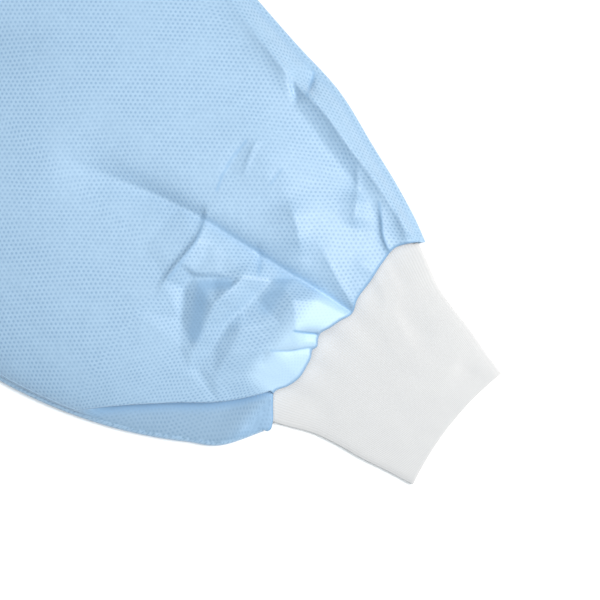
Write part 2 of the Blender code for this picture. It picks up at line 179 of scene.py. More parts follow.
# Creases of the sleeves. Points are (along, across), walked from the first to the last, and left
# and right are the widths of the fold's two slopes as seen from above. A ridge has a height over 0.
# Start and end are the shares of the height at the two ends, and narrow is the share of the width at
# the last point. A power of 1 gives a sharp fold, and one of 2 a round fold.
Crease = namedtuple("Crease", "name points height left right start end narrow power")
LEFT_SLEEVE_CREASES = [
    Crease("main valley", ((165, -26), (130, -14), (108, -7), (88, -2.6), (62, 1.4), (35, 5.4), (0, 10.5)),
           -3.8, 6.5, 18, 0.0, 1.0, 0.5, 1.15),
    Crease("valley's soft start", ((165, -24), (140, -20), (118, -11), (92, -4)),
           -2.4, 14, 18, 0.0, 0.0, 0.6, 1.6),
    Crease("broad crest", ((128, 42), (104, 39.6), (59, 34.3), (26, 25), (6, 20)),
           2.4, 17, 18, 0.0, 0.6, 0.8, 1.6),
    Crease("side crest",
           ((168, 90), (122, 80.3), (98, 76), (77.7, 73.8), (57.8, 68.9), (40.5, 65.5), (9.7, 56.6)),
           6.6, 8, 8, 0.0, 0.6, 0.62, 1.1),
    Crease("side trough", ((120, 74), (98, 67.5), (79.5, 65), (62, 61), (45, 58), (27, 52.5), (16, 48.6)),
           -1.9, 7, 11, 0.0, 0.4, 0.8, 1.3),
    Crease("upper step", ((105.8, 80), (99, 75), (88.4, 66.6)),
           -3.4, 9, 1.4, 0.3, 0.0, 1.0, 1.05),
    Crease("edge notch", ((95.5, 88), (92.2, 82), (88.8, 74.3)),
           -3.4, 1.5, 3.4, 1.0, 0.0, 1.0, 1.1),
    Crease("thin ridge", ((50, 65.5), (44.2, 59.4), (37.4, 51.5)),
           0.8, 1.6, 1.6, 0.2, 0.0, 1.0, 1.3),
    Crease("dart", ((29.5, 58), (23.2, 52.4), (17.6, 47.2), (9, 42.6)),
           2.3, 9, 1.2, 0.2, 0.8, 1.0, 1.15),
    Crease("soft crest", ((42, 57), (36.3, 48.7), (31, 39.5)),
           3.2, 8, 5, 0.2, 0.0, 1.0, 1.2),
    Crease("middle crest", ((65.4, 31.6), (56, 26.5), (49.5, 22), (40, 13)),
           3.8, 7, 13, 0.2, 0.2, 0.9, 1.1),
    Crease("seam crest", ((42, 26), (26.5, 19.6), (14.4, 15), (5, 12)),
           1.7, 4, 5, 0.0, 1.0, 0.8, 1.2),
    Crease("upper cross crease", ((97.6, 43), (94.3, 26), (92.5, 14)),
           -1.2, 10, 6, 0.0, 0.0, 1.0, 1.1),
    Crease("fine ridge", ((92.9, 46.4), (91.3, 37.3), (85.7, 23.5)),
           0.6, 1.3, 1.1, 0.0, 0.0, 1.0, 1.3),
    Crease("short crease", ((76, 40), (74.7, 31.5)),
           -0.5, 4, 3, 0.0, 0.0, 1.0, 1.1),
    Crease("cross crease", ((88.5, 0.5), (85.4, -5.7), (83.5, -13), (83.2, -25), (82.9, -34), (81, -47)),
           2.1, 7, 1.1, 0.6, 0.0, 1.0, 1.05),
    Crease("notch", ((59, 3.6), (54.5, -0.5), (51, -5)),
           -1.5, 1.4, 3.2, 0.5, 0.0, 1.0, 1.1),
    Crease("first tuck", ((20.5, -14.5), (15.1, -11.2), (7, -5.8)),
           -3.2, 1.4, 3.4, 0.0, 1.0, 1.3, 1.3),
    Crease("second tuck", ((23, -29), (16.1, -23.3), (12, -18.5), (5, -10.5)),
           -1.6, 1.3, 3.0, 0.0, 1.0, 1.1, 1.3),
    Crease("lobe line", ((25, -29), (23.6, -34), (22, -40)),
           -0.7, 2.5, 1.5, 0.0, 0.0, 1.0, 1.3),
    Crease("strip crease", ((9.4, -76), (9, -70), (8.6, -63)),
           2.6, 1.3, 1.3, 0.4, 0.0, 1.0, 1.2),
    Crease("corner crest", ((24, 62), (14, 57), (6, 52)),
           1.2, 3, 3, 0.0, 0.6, 1.0, 1.4),
    Crease("upper gather", ((24, 31), (3, 31)),
           1.2, 4, 5, 0.0, 0.8, 1.0, 1.6),
    Crease("upper arm valley", ((318, -70), (262, -30), (190, 18)),
           -4.5, 14, 30, 0.0, 0.0, 0.8, 1.5),
    Crease("upper arm ridge", ((430, 64), (340, 40), (230, 56)),
           4.5, 22, 16, 0.0, 0.0, 0.8, 1.4),
    Crease("armpit valley", ((335, -96), (290, -76), (225, -84)),
           -3.0, 14, 12, 0.0, 0.0, 0.8, 1.4),
    Crease("armpit ridge", ((340, -50), (285, -8), (215, -40)),
           3.4, 18, 12, 0.0, 0.0, 0.8, 1.3),
]
# Lines along which the left sleeve's cloth bends, as (along, across, height); it is flat between them
LEFT_SLEEVE_BENDS = {
    "valley": ((100, -4.6, 0), (87.7, -2.4, 0), (58.7, 2.2, 0.2), (35.3, 5.6, 0.5), (16.1, 8.8, 0.6),
               (5.5, 10, 0.4), (-8, 11, 0.3)),
    "bend": ((87.7, -2.4, 0), (83.5, -12.2, 2.0), (83.1, -25, 1.4), (82.7, -36.5, 0)),
    "plateau": ((78, -8.5, 1.8), (68, -8, 2.4), (60.5, -9, 3.6)),
    "hollow_rim": ((74.2, -24.3, 0.4), (65.2, -17.3, 2.8), (55.7, -11, 5.8)),
    "crest": ((55.7, -11, 5.8), (56.6, -21, 6.3), (57.4, -29.6, 5.7), (54.4, -39.9, 3.4),
              (51.4, -52.9, 0.7), (47.9, -60.9, 0)),
    "hollow_foot": ((74.2, -26.2, -2.0), (65.4, -20, 0.7), (57.4, -14.6, 3.8)),
    "foot": ((74.2, -24.3, 0.4), (74.2, -26.2, -2.0), (73.8, -33, -2.8), (65.2, -45.4, -2.0),
             (56.8, -55.6, -0.5), (47.9, -62.5, 0)),
    "trough": ((44.7, -3.5, 2.2), (45.2, -14.5, 0.8), (46.3, -24.1, 0.8), (47.2, -31.1, 0.8),
               (45.2, -44.3, 0.2), (44, -58.2, -0.6)),
    "gully_ridge": ((40.6, -30.4, 4.2), (37.6, -42.2, 3.2), (36, -55, 1.0)),
    "shelf": ((38.4, -1.6, 4.8), (30.3, -3.6, 9.4), (20.7, -12.8, 8.6)),
    "pillow_edge": ((40.6, -30.4, 4.2), (34.1, -22.4, 4.6), (28.3, -16.2, 6.2), (20.7, -12.8, 8.6)),
    "pillow": ((32, -38, 3.4), (22.6, -28.7, 4.8), (13.4, -19, 5.0)),
    "front": ((38.4, -1.6, 4.8), (21.7, 3.7, 6.0), (10.1, 6.2, 3.8), (-7, 8, 1.2)),
    "front_edge": ((20.7, -12.8, 8.6), (13.5, -5.6, 6.0), (-6, 0, 2.2)),
    "low_slope": ((24, -43.4, 2.0), (23.7, -57.2, 0.4)),
    "lobe": ((16.3, -40.7, 2.2), (9, -30, 3.6), (5, -22, 3.6)),
    "rim": ((-7, -20, 1.2), (-6, -36, 0.6), (-5, -50, 0)),
    "limit": ((104, 0, 0), (100, -30, 0), (84, -56, 0), (62, -78, 0), (40, -86, 0), (24, -66, 0),
              (8, -54, 0), (-12, -56, 0)),
    "upper_limit": ((104, 0, 0), (78, 10, 0), (48, 15, 0), (20, 18, 0), (-12, 18, 0)),
}
# Painted shade along tucks and sharp folds, as dark lines: how dark and how wide each is, and its (along,
# across)
DarkLine = namedtuple("DarkLine", "strength width path")
LEFT_DARK_LINES = [
    DarkLine(0.42, 4.6, ((65.7, -28.8), (60.4, -38.0), (55.6, -46.5))),
    DarkLine(0.42, 3.4, ((67.8, -26.9), (59.1, -18.2))),
    DarkLine(0.32, 5.0, ((41.2, 3.3), (39.3, -6.3), (37.9, -15.1))),
    DarkLine(0.8, 0.8, ((20.5, -14.5), (15.1, -11.2), (7, -5.8))),
    DarkLine(0.45, 0.7, ((23, -29), (16.1, -23.3), (12, -18.5), (5, -10.5))),
    DarkLine(0.30, 2.2, ((88, -2.2), (62, 1.8), (35, 5.8), (16, 9.2), (2, 10.6))),
    DarkLine(0.35, 0.9, ((87, -3.6), (84.6, -9), (82.8, -13.6), (82.3, -25), (82, -34))),
    DarkLine(0.40, 1.0, ((29.5, 58), (23.2, 52.4), (17.6, 47.2), (9, 42.6))),
    DarkLine(0.45, 1.0, ((95.5, 88), (92.2, 82), (88.8, 74.3))),
    DarkLine(0.30, 1.2, ((59, 3.6), (54.5, -0.5), (51, -5))),
    DarkLine(0.50, 0.9, ((96.2, 38.7), (96.3, 28.7), (94.1, 18.1), (91.6, 12.2))),
    DarkLine(0.35, 0.7, ((74.8, 39.7), (74.5, 30.6))),
]
RIGHT_SLEEVE_CREASES = [
    Crease("main valley", ((172, 46), (128, 34), (90, 19), (44, 6), (0, -4)),
           -4.6, 24, 7, 0.0, 1.0, 0.45, 1.6),
    Crease("long ridge", ((154, -52), (110, -38), (60, -30), (18, -24)),
           4.4, 12, 8, 0.0, 0.3, 0.6, 1.5),
    Crease("low valley", ((122, -84), (86, -70), (50, -54)),
           -3.6, 8, 12, 0.0, 0.0, 0.8, 1.5),
    Crease("side ridge", ((112, 72), (70, 64), (20, 50)),
           3.0, 8, 8, 0.0, 0.6, 0.7, 1.5),
    Crease("side valley", ((74, 46), (40, 40), (6, 30)),
           -3.6, 5, 7, 0.0, 1.0, 0.7, 1.5),
    Crease("cross crease", ((104, 8), (98, -8), (101, -34)),
           2.2, 2.4, 15, 0.3, 0.0, 1.0, 1.2),
    Crease("upper crease", ((66, 14), (60, 30), (63, 48)),
           1.6, 11, 2.2, 0.0, 0.0, 1.0, 1.2),
    Crease("seam gather one", ((32, -44), (4, -34)),
           -2.4, 4, 4, 0.0, 1.0, 1.0, 1.6),
    Crease("seam gather two", ((30, -16), (4, -11)),
           2.4, 6, 5, 0.0, 1.0, 1.0, 1.7),
    Crease("seam gather three", ((26, 14), (4, 12)),
           2.2, 6, 6, 0.0, 1.0, 1.0, 1.7),
    Crease("seam gather four", ((28, 26), (4, 25)),
           -2.2, 4, 4, 0.0, 1.0, 1.0, 1.7),
    Crease("upper arm ridge", ((262, 66), (205, 20), (150, -44)),
           4.6, 16, 24, 0.0, 0.0, 0.8, 1.6),
    Crease("upper arm valley", ((335, -60), (278, -26), (218, 6)),
           -4.0, 26, 14, 0.0, 0.0, 0.8, 1.7),
    Crease("armhole ridge", ((430, 44), (372, 56), (310, 74)),
           3.8, 16, 22, 0.0, 0.0, 0.8, 1.6),
]

# Creases of the front, as (x to the wearer's left, drop down from the neck)
FRONT_CREASES = [
    Crease("right drape", ((-215, 330), (-172, 700), (-120, 1120)), 8.0, 34, 26, 0.0, 0.2, 1.1, 1.7),
    Crease("left drape", ((235, 360), (206, 720), (165, 1140)), 8.5, 28, 34, 0.0, 0.2, 1.1, 1.7),
    Crease("middle drape", ((-40, 260), (4, 640), (30, 1080)), 6.0, 36, 30, 0.0, 0.1, 1.1, 1.8),
    Crease("right hem fold", ((-270, 620), (-252, 1000), (-250, 1175)), 7.5, 26, 22, 0.0, 0.6, 1.1, 1.6),
    Crease("left hem fold", ((285, 700), (294, 1000), (295, 1175)), 7.0, 20, 26, 0.0, 0.6, 1.1, 1.6),
    Crease("centre hem fold", ((90, 780), (74, 1000), (70, 1180)), 6.5, 28, 22, 0.0, 0.6, 1.1, 1.6),
    Crease("left shoulder pull", ((265, 150), (200, 220), (110, 330)), 7.0, 30, 22, 0.0, 0.0, 1.0, 1.6),
    Crease("right shoulder pull", ((-270, 140), (-205, 222), (-130, 350)), 6.5, 22, 32, 0.0, 0.0, 1.0, 1.6),
    Crease("waist fold", ((-120, 480), (10, 540), (140, 560)), 4.5, 24, 30, 0.0, 0.0, 1.0, 1.5),
    Crease("packing crease across", ((-330, 585), (0, 592), (330, 586)), -0.9, 5, 5, 0.6, 0.6, 1.0, 1.2),
    Crease("packing crease down", ((3, 125), (-2, 640), (2, 1175)), -0.9, 5, 5, 0.6, 0.8, 1.0, 1.2),
    Crease("chest crease", ((90, 176), (130, 250), (235, 300)), -1.3, 14, 7, 0.0, 0.0, 1.0, 1.5),
    Crease("chest crease right", ((-96, 210), (-140, 262), (-220, 284)), 1.1, 7, 15, 0.0, 0.0, 1.0, 1.5),
    Crease("hip crease", ((198, 520), (232, 600), (256, 690)), -1.7, 16, 9, 0.0, 0.0, 1.0, 1.5),
    Crease("hip crease right", ((-216, 480), (-196, 600), (-204, 730)), -1.6, 9, 16, 0.0, 0.0, 1.0, 1.5),
    Crease("thigh crease", ((-44, 690), (-52, 790), (-70, 910)), 1.3, 9, 20, 0.0, 0.0, 1.0, 1.6),
    Crease("thigh crease left", ((132, 640), (138, 760), (148, 890)), 1.2, 20, 9, 0.0, 0.0, 1.0, 1.6),
]

# Colours as the eye sees them, from 0 to 255
CLOTH_LIGHT = (162, 193, 219)
CLOTH_DOT = (132, 165, 197)
CLOTH_CLOUD = (154, 185, 212)
CLOTH_PLAIN = (180, 210, 234)
# Painted shade: a saturated blue for shaded rims, edges, folds and the strip under the lip, and a grey blue
# for the shaded strip
CLOTH_PAINTED_BLUE_SHADE = (112, 158, 200)
CLOTH_PAINTED_GREY_SHADE = (104, 134, 160)
KNIT_LIGHT = (211, 211, 211)
KNIT_SHADE = (203, 203, 204)
FLOOR_WHITE = (250, 250, 250)


def linear(colour):
    """A colour from 0 to 255 as the shaders take it."""
    shares = [c / 255 for c in colour]
    return tuple(s / 12.92 if s <= 0.04045 else ((s + 0.055) / 1.055) ** 2.4 for s in shares)


def lerp(a, b, t):
    return a + (b - a) * t


def smooth(t):
    t = np.clip(t, 0.0, 1.0)
    return t * t * (3 - 2 * t)


def rise(x, start, over):
    """0 up to start, 1 from start + over on, and smooth between."""
    return smooth((x - start) / over)


def fall(x, start, over):
    """1 up to start, 0 from start + over on, and smooth between."""
    return 1 - rise(x, start, over)


def bow(q, power):
    """0 at both edges, where q is -1 and 1, and 1 in the middle. A low power makes it fuller."""
    return np.maximum(1 - q * q, 0) ** power


def stack(*parts):
    return np.stack(np.broadcast_arrays(*parts), axis=2)


def through(keys, values, at):
    """A smooth curve of values over keys, level past its ends, read at each place in at."""
    keys, values = np.array(keys, float), np.array(values, float)
    slopes = np.gradient(values, keys)
    at = np.clip(at, keys[0], keys[-1])
    i = np.clip(np.searchsorted(keys, at, side="right") - 1, 0, len(keys) - 2)
    span = keys[i + 1] - keys[i]
    t = (at - keys[i]) / span
    start = (1 + 2 * t) * (1 - t) ** 2 * values[i] + t * (1 - t) ** 2 * span * slopes[i]
    end = t * t * (3 - 2 * t) * values[i + 1] + t * t * (t - 1) * span * slopes[i + 1]
    return start + end


def rounded(path, cuts=5):
    """More points on a smooth curve through a path's points."""
    if len(path) < 3:
        return path
    counts = np.arange(len(path))
    at = np.linspace(0, len(path) - 1, (len(path) - 1) * cuts + 1)
    columns = [through(counts, [point[k] for point in path], at) for k in range(len(path[0]))]
    return list(zip(*columns))


def beside(path, x, y):
    """How far each place is from a path, which side it is on (1 left, -1 right), and how far along."""
    away = np.full(x.shape, np.inf)
    side = np.zeros(x.shape)
    share = np.zeros(x.shape)
    runs = [math.dist(a, b) for a, b in zip(path, path[1:])]
    done = 0
    for (x0, y0), (x1, y1), run in zip(path, path[1:], runs):
        ux, uy = (x1 - x0) / run, (y1 - y0) / run
        t = np.clip((x - x0) * ux + (y - y0) * uy, 0, run)
        off_x, off_y = x - x0 - t * ux, y - y0 - t * uy
        far = np.hypot(off_x, off_y)
        nearer = far < away
        away = np.where(nearer, far, away)
        side = np.where(nearer, (ux * off_y - uy * off_x) / np.maximum(far, 1e-6), side)
        share = np.where(nearer, (done + t) / sum(runs), share)
        done += run
    return away, side, share


# How many of its widths a crease reaches. It fades in and out over 1 / CREASE_FADE of its length.
CREASE_REACH = 2.6
CREASE_FADE = 2.5


def crease_height(creases, x, y, to_plan):
    """The height that creases add at places in plan."""
    total = np.zeros(x.shape)
    for crease in creases:
        path = rounded([to_plan(*point) for point in crease.points])
        reach = CREASE_REACH * max(crease.left, crease.right)
        xs, ys = [p[0] for p in path], [p[1] for p in path]
        near = (x > min(xs) - reach) & (x < max(xs) + reach) & (y > min(ys) - reach) & (y < max(ys) + reach)
        away, side, share = beside(path, x[near], y[near])
        width = lerp(crease.right, crease.left, (side + 1) / 2) * lerp(1, crease.narrow, share)
        fade = lerp(crease.start, 1, smooth(share * CREASE_FADE))
        fade = fade * lerp(crease.end, 1, smooth((1 - share) * CREASE_FADE))
        total[near] += crease.height * fade * np.exp(-((away / width) ** crease.power))
    return total


# A bend is rounded by the mean of the heights at these places round each point
BEND_REACH = 0.9
BEND_SAMPLES = [(0, 0), (BEND_REACH, 0), (-BEND_REACH, 0), (0, BEND_REACH), (0, -BEND_REACH)]
SAME_SPOT = 0.01


def bend_height(bends, along, across):
    """The height of a cloth that is flat between its bends."""
    if not bends:
        return np.zeros(along.shape)
    spots, edges = [], []
    for line in bends.values():
        first = len(spots)
        spots += line
        edges += [(first + k, first + k + 1) for k in range(len(line) - 1)]
    flat = [Vector(spot[:2]) for spot in spots]
    found = delaunay_2d_cdt(flat, edges, [], 0, SAME_SPOT)
    corners, faces, sources = found[0], found[2], found[3]
    heights = [spots[source[0]][2] if source else 0.0 for source in sources]
    total = np.zeros(along.shape)
    for off_along, off_across in BEND_SAMPLES:
        at = (along + off_along, across + off_across)
        for face in faces:
            total += facet_height([corners[k] for k in face], [heights[k] for k in face], at)
    return total / len(BEND_SAMPLES)


def facet_height(corners, heights, at):
    """The height of a flat triangle at places inside it, and 0 at the others."""
    (x0, y0), (x1, y1), (x2, y2) = corners
    h0, h1, h2 = heights
    area = (x1 - x0) * (y2 - y0) - (x2 - x0) * (y1 - y0)
    second = ((at[0] - x0) * (y2 - y0) - (x2 - x0) * (at[1] - y0)) / area
    third = ((x1 - x0) * (at[1] - y0) - (at[0] - x0) * (y1 - y0)) / area
    inside = (second >= 0) & (third >= 0) & (second + third < 1)
    return np.where(inside, h0 + second * (h1 - h0) + third * (h2 - h0), 0)


Crumple = namedtuple("Crumple", "height size seed")
CRUMPLE_TURNS = (17, 64, 101, 149)


def crumple(x, y, size, seed):
    """Faceted relief of stiff cloth, about -0.5 to 0.5: folded planes whose ridges wander."""
    wander = 0.30 * size
    x = x + wander * np.sin(y / size * 1.3 + seed) + 0.12 * size * np.sin(y / size * 3.1 + 2 * seed)
    y = y + wander * np.sin(x / size * 1.1 + 3 * seed)
    total = 0
    for k, turn in enumerate(CRUMPLE_TURNS):
        turn = math.radians(turn + 23 * seed)
        phase = (x * math.cos(turn) + y * math.sin(turn)) / (size * (1 + 0.23 * k)) + 0.37 * seed * (k + 1)
        total = total + np.abs((phase % 1) * 2 - 1) - 0.5
    patches = 0.55 + 0.45 * np.sin(x / size * 0.61 + seed) * np.sin(y / size * 0.53 + 2 * seed)
    return total / len(CRUMPLE_TURNS) * patches


def crumpled(crumples, x, y, seed=0):
    return sum(c.height * crumple(x, y, c.size, c.seed + seed) for c in crumples)


def arc_lengths(points, axis):
    """Length along the cloth from the grid's first row or column."""
    steps = np.linalg.norm(np.diff(points, axis=axis), axis=2)
    start = np.zeros_like(np.take(steps, [0], axis=axis))
    return np.concatenate([start, np.cumsum(steps, axis=axis)], axis=axis)


def lay_out(mesh, counts, place):
    """Gives a grid's points their places, their pattern places and their marks for the shader."""
    columns, rows = counts
    flat = np.zeros(len(mesh.vertices) * 3)
    mesh.vertices.foreach_get("co", flat)
    flat = flat.reshape(-1, 3)
    column = np.rint((flat[:, 0] + 0.5) * columns).astype(int)
    row = np.rint((flat[:, 1] + 0.5) * rows).astype(int)
    a, b = np.meshgrid(np.arange(columns + 1) / columns, np.arange(rows + 1) / rows)
    points, pattern, marks = place(a, b)
    mesh.vertices.foreach_set("co", (points[row, column] * MM).ravel())
    corners = np.zeros(len(mesh.loops), int)
    mesh.loops.foreach_get("vertex_index", corners)
    layer = mesh.uv_layers.new(name="cloth")
    layer.uv.foreach_set("vector", (pattern[row, column][corners] * MM).ravel())
    layer = mesh.attributes.new("marks", "FLOAT_VECTOR", "POINT")
    layer.data.foreach_set("vector", marks[row, column].astype(float).ravel())


def cloth_piece(name, counts, place, material, wrap=False, mirrored=False, wall=None):
    """A piece of cloth: a grid that place(a, b) lays out in mm, closed round if it wraps."""
    mesh = bpy.data.meshes.new(name)
    bm = bmesh.new()
    bmesh.ops.create_grid(bm, x_segments=counts[0], y_segments=counts[1], size=0.5)
    bm.to_mesh(mesh)
    bm.free()
    lay_out(mesh, counts, place)
    bm = bmesh.new()
    bm.from_mesh(mesh)
    if wrap:
        bmesh.ops.remove_doubles(bm, verts=bm.verts, dist=1e-6)
    if mirrored:
        bmesh.ops.scale(bm, vec=(-1, 1, 1), verts=bm.verts)
        bmesh.ops.reverse_faces(bm, faces=bm.faces)
    bm.to_mesh(mesh)
    bm.free()
    mesh.shade_smooth()
    piece = bpy.data.objects.new(name, mesh)
    bpy.context.scene.collection.objects.link(piece)
    mesh.materials.append(material)
    if wall:
        solid = piece.modifiers.new("Wall", "SOLIDIFY")
        solid.thickness = wall * MM
        solid.offset = -1
    return piece


# The sleeves


def sleeve_axes():
    down = (math.cos(SLEEVE_ANGLE), -math.sin(SLEEVE_ANGLE))
    out = (math.sin(SLEEVE_ANGLE), math.cos(SLEEVE_ANGLE))
    underarm = (UNDERARM_HALF, NECK_Y - UNDERARM_DROP)
    wrist = [underarm[k] + out[k] * LOWER_HALF_AT_ARMHOLE + down[k] * UNDERARM_SEAM for k in (0, 1)]
    return down, out, wrist


DOWN, OUT, WRIST = sleeve_axes()


def sleeve_plan(along, across):
    return WRIST[0] - DOWN[0] * along + OUT[0] * across, WRIST[1] - DOWN[1] * along + OUT[1] * across


def shoulder_tip():
    """The shoulder tip in the sleeve's own frame."""
    x, y = SHOULDER_HALF - WRIST[0], NECK_Y - SHOULDER_DROP - WRIST[1]
    return -(x * DOWN[0] + y * DOWN[1]), x * OUT[0] + y * OUT[1]


TIP_ALONG, TIP_ACROSS = shoulder_tip()
ARMHOLE_LOFT = SIDE_TOP + ARMHOLE_CROWN - FOLDED_EDGE


def sleeve_upper(along):
    return through((*SLEEVE_ALONG, TIP_ALONG), (*SLEEVE_UPPER, TIP_ACROSS), along)


def sleeve_lower(along):
    return through((*SLEEVE_ALONG, UNDERARM_SEAM), (*SLEEVE_LOWER, LOWER_HALF_AT_ARMHOLE), along)


def sleeve_loft(along):
    return through((*SLEEVE_ALONG, UNDERARM_SEAM), (*SLEEVE_LOFT, ARMHOLE_LOFT), along)


SLEEVE_BOW = 0.62
SEAM_SQUARENESS = 6


def seam_line(q):
    return SEAM_ARC * (1 - np.clip(np.abs(q), 0, 1) ** SEAM_SQUARENESS)


def rim_at(rim, across):
    return through([r.across for r in rim], [r.along for r in rim], across)


def lip_across(along, look):
    return through([p.along for p in look.lip], [p.across for p in look.lip], along)


SleeveLook = namedtuple("SleeveLook", "creases bends lines rim lip seed plain")

# The columns round a sleeve, from the lower side over the top and back underneath. The strip lies
# under the pleat's lip, and the lip is the fold between the strip and the main part.
Span = namedtuple("Span", "name count")
SLEEVE_SPANS = [
    Span("strip", 22),
    Span("lip", 8),
    Span("main", 216),
    Span("upper edge", 6),
    Span("under", 36),
    Span("lower edge", 6),
]
STRIP, LIP, MAIN = 0, 1, 2
SLEEVE_COLUMNS = sum(span.count for span in SLEEVE_SPANS)

# The rows along a sleeve: those that roll over the rim, fine ones over the forearm, and coarse ones
ROLL_ROWS = 10
FINE_ROWS = 170
FINE_STEP = 0.88
COARSE_ROWS = 44
SLEEVE_ROWS = ROLL_ROWS + FINE_ROWS + COARSE_ROWS
ROW_STEP_AT_SEAM = 0.2
SETTLING_PASSES = 10
SETTLING_STEP = 0.45

# The column and row from which the pattern is measured
PATTERN_COLUMN = SLEEVE_SPANS[STRIP].count + SLEEVE_SPANS[LIP].count + SLEEVE_SPANS[MAIN].count * 5 // 9
PATTERN_ROW = ROLL_ROWS + 60

# The pleat's lip, in mm. LIP_CLIMB is the share of its columns that climb from the strip, and the
# rim's retreat ends after 1 / LIP_SHOWS of them.
LIP_RADIUS = 0.9
LIP_CLIMB = 0.4
LIP_GAP = 0.3
LIP_OVERHANG = 4
LIP_DRAWS_BACK = 0.8
LIP_SHOWS = 1.6
PLEAT_FADE = 9
LEAST_STRIP = 0.5

# The shares of the sleeve's height and of its folds that the strip under the lip keeps
STRIP_KEEPS = 0.24
STRIP_KEEPS_AT_CUFF = 0.62
STRIP_RELIEF = 0.35

# The rim over the knit: how far back its roll starts, and how late it narrows towards the sides
RIM_DEPTH = 2.2
LEAST_RIM_DEPTH = 0.4
RIM_SQUARENESS = 20
ARMHOLE_SKEW = 2.5

# Folds end this share of the half width before the sides, and go this deep at most
EDGE_CALM = 0.06
DEEPEST_SHARE = 0.75
DEEPEST_AT_EDGE = 0.5

# The cloth is crumpled most this far from the cuff, and less beyond
CRUMPLED_AT = 48
CRUMPLED_OVER = 42
LEAST_CRUMPLED = 0.4
SLEEVE_CRUMPLES = [Crumple(1.2, 30, 0), Crumple(0.6, 12, 1)]

# Where things change along the sleeve or across it, as a start and the length of the change
STRIP_SINKS = (7, 15)
HIDDEN_BY_LIP = (-1, 3)
BEHIND_RIM = (0.5, 1.3)
NEAR_UPPER_EDGE = (0.95, 0.04)
NEAR_LIP = (-9, 8)
NEAR_CUFF = (7, 7)
BESIDE_LINE = (0.25, 1)

# How dark the painted shade is: blue shade on the rim, along the upper edge, and on the strip under the
# lip, and grey shade on that strip
RIM_DARK = 0.8
UPPER_EDGE_DARK = 0.6
STRIP_DARK_BY_LIP = 0.75
STRIP_DARK_BY_CUFF = 0.3
STRIP_GREY_SHADE = 0.46
STRIP_GREY_SHADE_BY_LIP = 0.2
STRIP_GREY_SHADE_BY_CUFF = 0.2


def around(a, spans):
    """For each column: the index of its span, and its place in that span from 0 to 1."""
    column = np.rint(a * sum(span.count for span in spans))
    index = np.zeros(a.shape, int)
    place = np.zeros(a.shape)
    first = 0
    for k, span in enumerate(spans):
        inside = column >= first
        index = np.where(inside, k, index)
        place = np.where(inside, (column - first) / span.count, place)
        first += span.count
    return index, place


def lip_steps(t):
    """How far each column of the lip has climbed from the strip, and how far it has rolled over."""
    return np.clip(t / LIP_CLIMB, 0, 1), np.clip((t - LIP_CLIMB) / (1 - LIP_CLIMB), 0, 1)


def across_at(span, t, along, look):
    """Each column's place across, the outline's two sides, and how far the pleat has opened."""
    upper, lower = sleeve_upper(along), sleeve_lower(along)
    radius = FOLDED_EDGE / 2
    lip = lip_across(along, look)
    least = -lower + radius + LEAST_STRIP
    lip = np.maximum(np.where(along > look.lip[-1].along, least, lip), least)
    lift = rise(lip, least, PLEAT_FADE)
    inner = lip + LIP_OVERHANG * lift
    climbed, rolled = lip_steps(t)
    places = [
        lerp(-lower + radius, inner, t),
        lerp(inner, lip + LIP_RADIUS, climbed) - LIP_RADIUS * np.sin(math.pi * rolled),
        lerp(lip + LIP_RADIUS, upper - radius, t),
        upper - radius + radius * np.sin(math.pi * t),
        lerp(upper - radius, -lower + radius, t),
        -lower + radius - radius * np.sin(math.pi * t),
    ]
    return np.choose(span, places), upper, lower, lift


def rim_retreat(span, t, across, along, look):
    """How far the rim draws back where the strip and the fold lie hidden under the lip."""
    hidden = np.where(span == STRIP, rise(across - lip_across(along, look), *HIDDEN_BY_LIP), 0)
    hidden = np.where(span == LIP, 1 - smooth(t * LIP_SHOWS), hidden)
    return LIP_DRAWS_BACK * hidden


def top_height(along, across, upper, lower, share_of_loft, look, calm_end):
    """Height of the sleeve's upper layer, in mm over the table."""
    inner = (upper + lower - FOLDED_EDGE) / 2
    q = np.clip((across - (upper - lower) / 2) / inner, -1, 1)
    base = FOLDED_EDGE + sleeve_loft(along) * bow(q, SLEEVE_BOW) * share_of_loft
    calm = smooth((1 - np.abs(q)) / EDGE_CALM) * calm_end
    x, y = sleeve_plan(along, across)
    relief = crease_height(look.creases, x, y, sleeve_plan) + bend_height(look.bends, along, across)
    rough = lerp(LEAST_CRUMPLED, 1, np.exp(-(((along - CRUMPLED_AT) / CRUMPLED_OVER) ** 2)))
    relief = relief + rough * crumpled(SLEEVE_CRUMPLES, x, y, look.seed)
    relief = np.where(share_of_loft < 1, STRIP_RELIEF * relief, relief)
    deepest = DEEPEST_SHARE * (base - FOLDED_EDGE) + DEEPEST_AT_EDGE
    return base + calm * np.maximum(relief, -deepest)


Settled = namedtuple("Settled", "along across upper lower lift q window rim seam base armhole")


def settle(span, t, out, look):
    """Each column's place along and across. The sides slant, so the two are found together."""
    along = out + SEAM_ARC
    reach = out / UNDERARM_SEAM
    for _ in range(SETTLING_PASSES):
        across, upper, lower, lift = across_at(span, t, along, look)
        off_middle = across - (upper - lower) / 2
        q = np.clip(off_middle / ((upper + lower) / 2), -1, 1)
        inner_q = np.clip(off_middle / ((upper + lower - FOLDED_EDGE) / 2), -1, 1)
        # The rim bulges over the knit on top, and the sleeve meets its seam at the edges and below
        window = np.where(span <= MAIN, 1 - np.abs(inner_q) ** RIM_SQUARENESS, 0)
        rim = rim_at(look.rim, across) + rim_retreat(span, t, across, along, look)
        seam = seam_line(q) + SEAM_GAP / 2
        behind_rim = np.maximum(rim + RIM_DEPTH, seam + LEAST_RIM_DEPTH)
        base = lerp(seam + ROW_STEP_AT_SEAM * ROLL_ROWS, behind_rim, window)
        armhole = lerp(UNDERARM_SEAM, TIP_ALONG, 0.5 + q / 2) - SEAM_GAP / math.cos(SLEEVE_ANGLE)
        skew = (armhole - UNDERARM_SEAM) * reach**ARMHOLE_SKEW
        along = lerp(along, base + reach * (UNDERARM_SEAM - base) + skew, SETTLING_STEP)
    return Settled(along, across, upper, lower, lift, q, window, rim, seam, base, armhole)


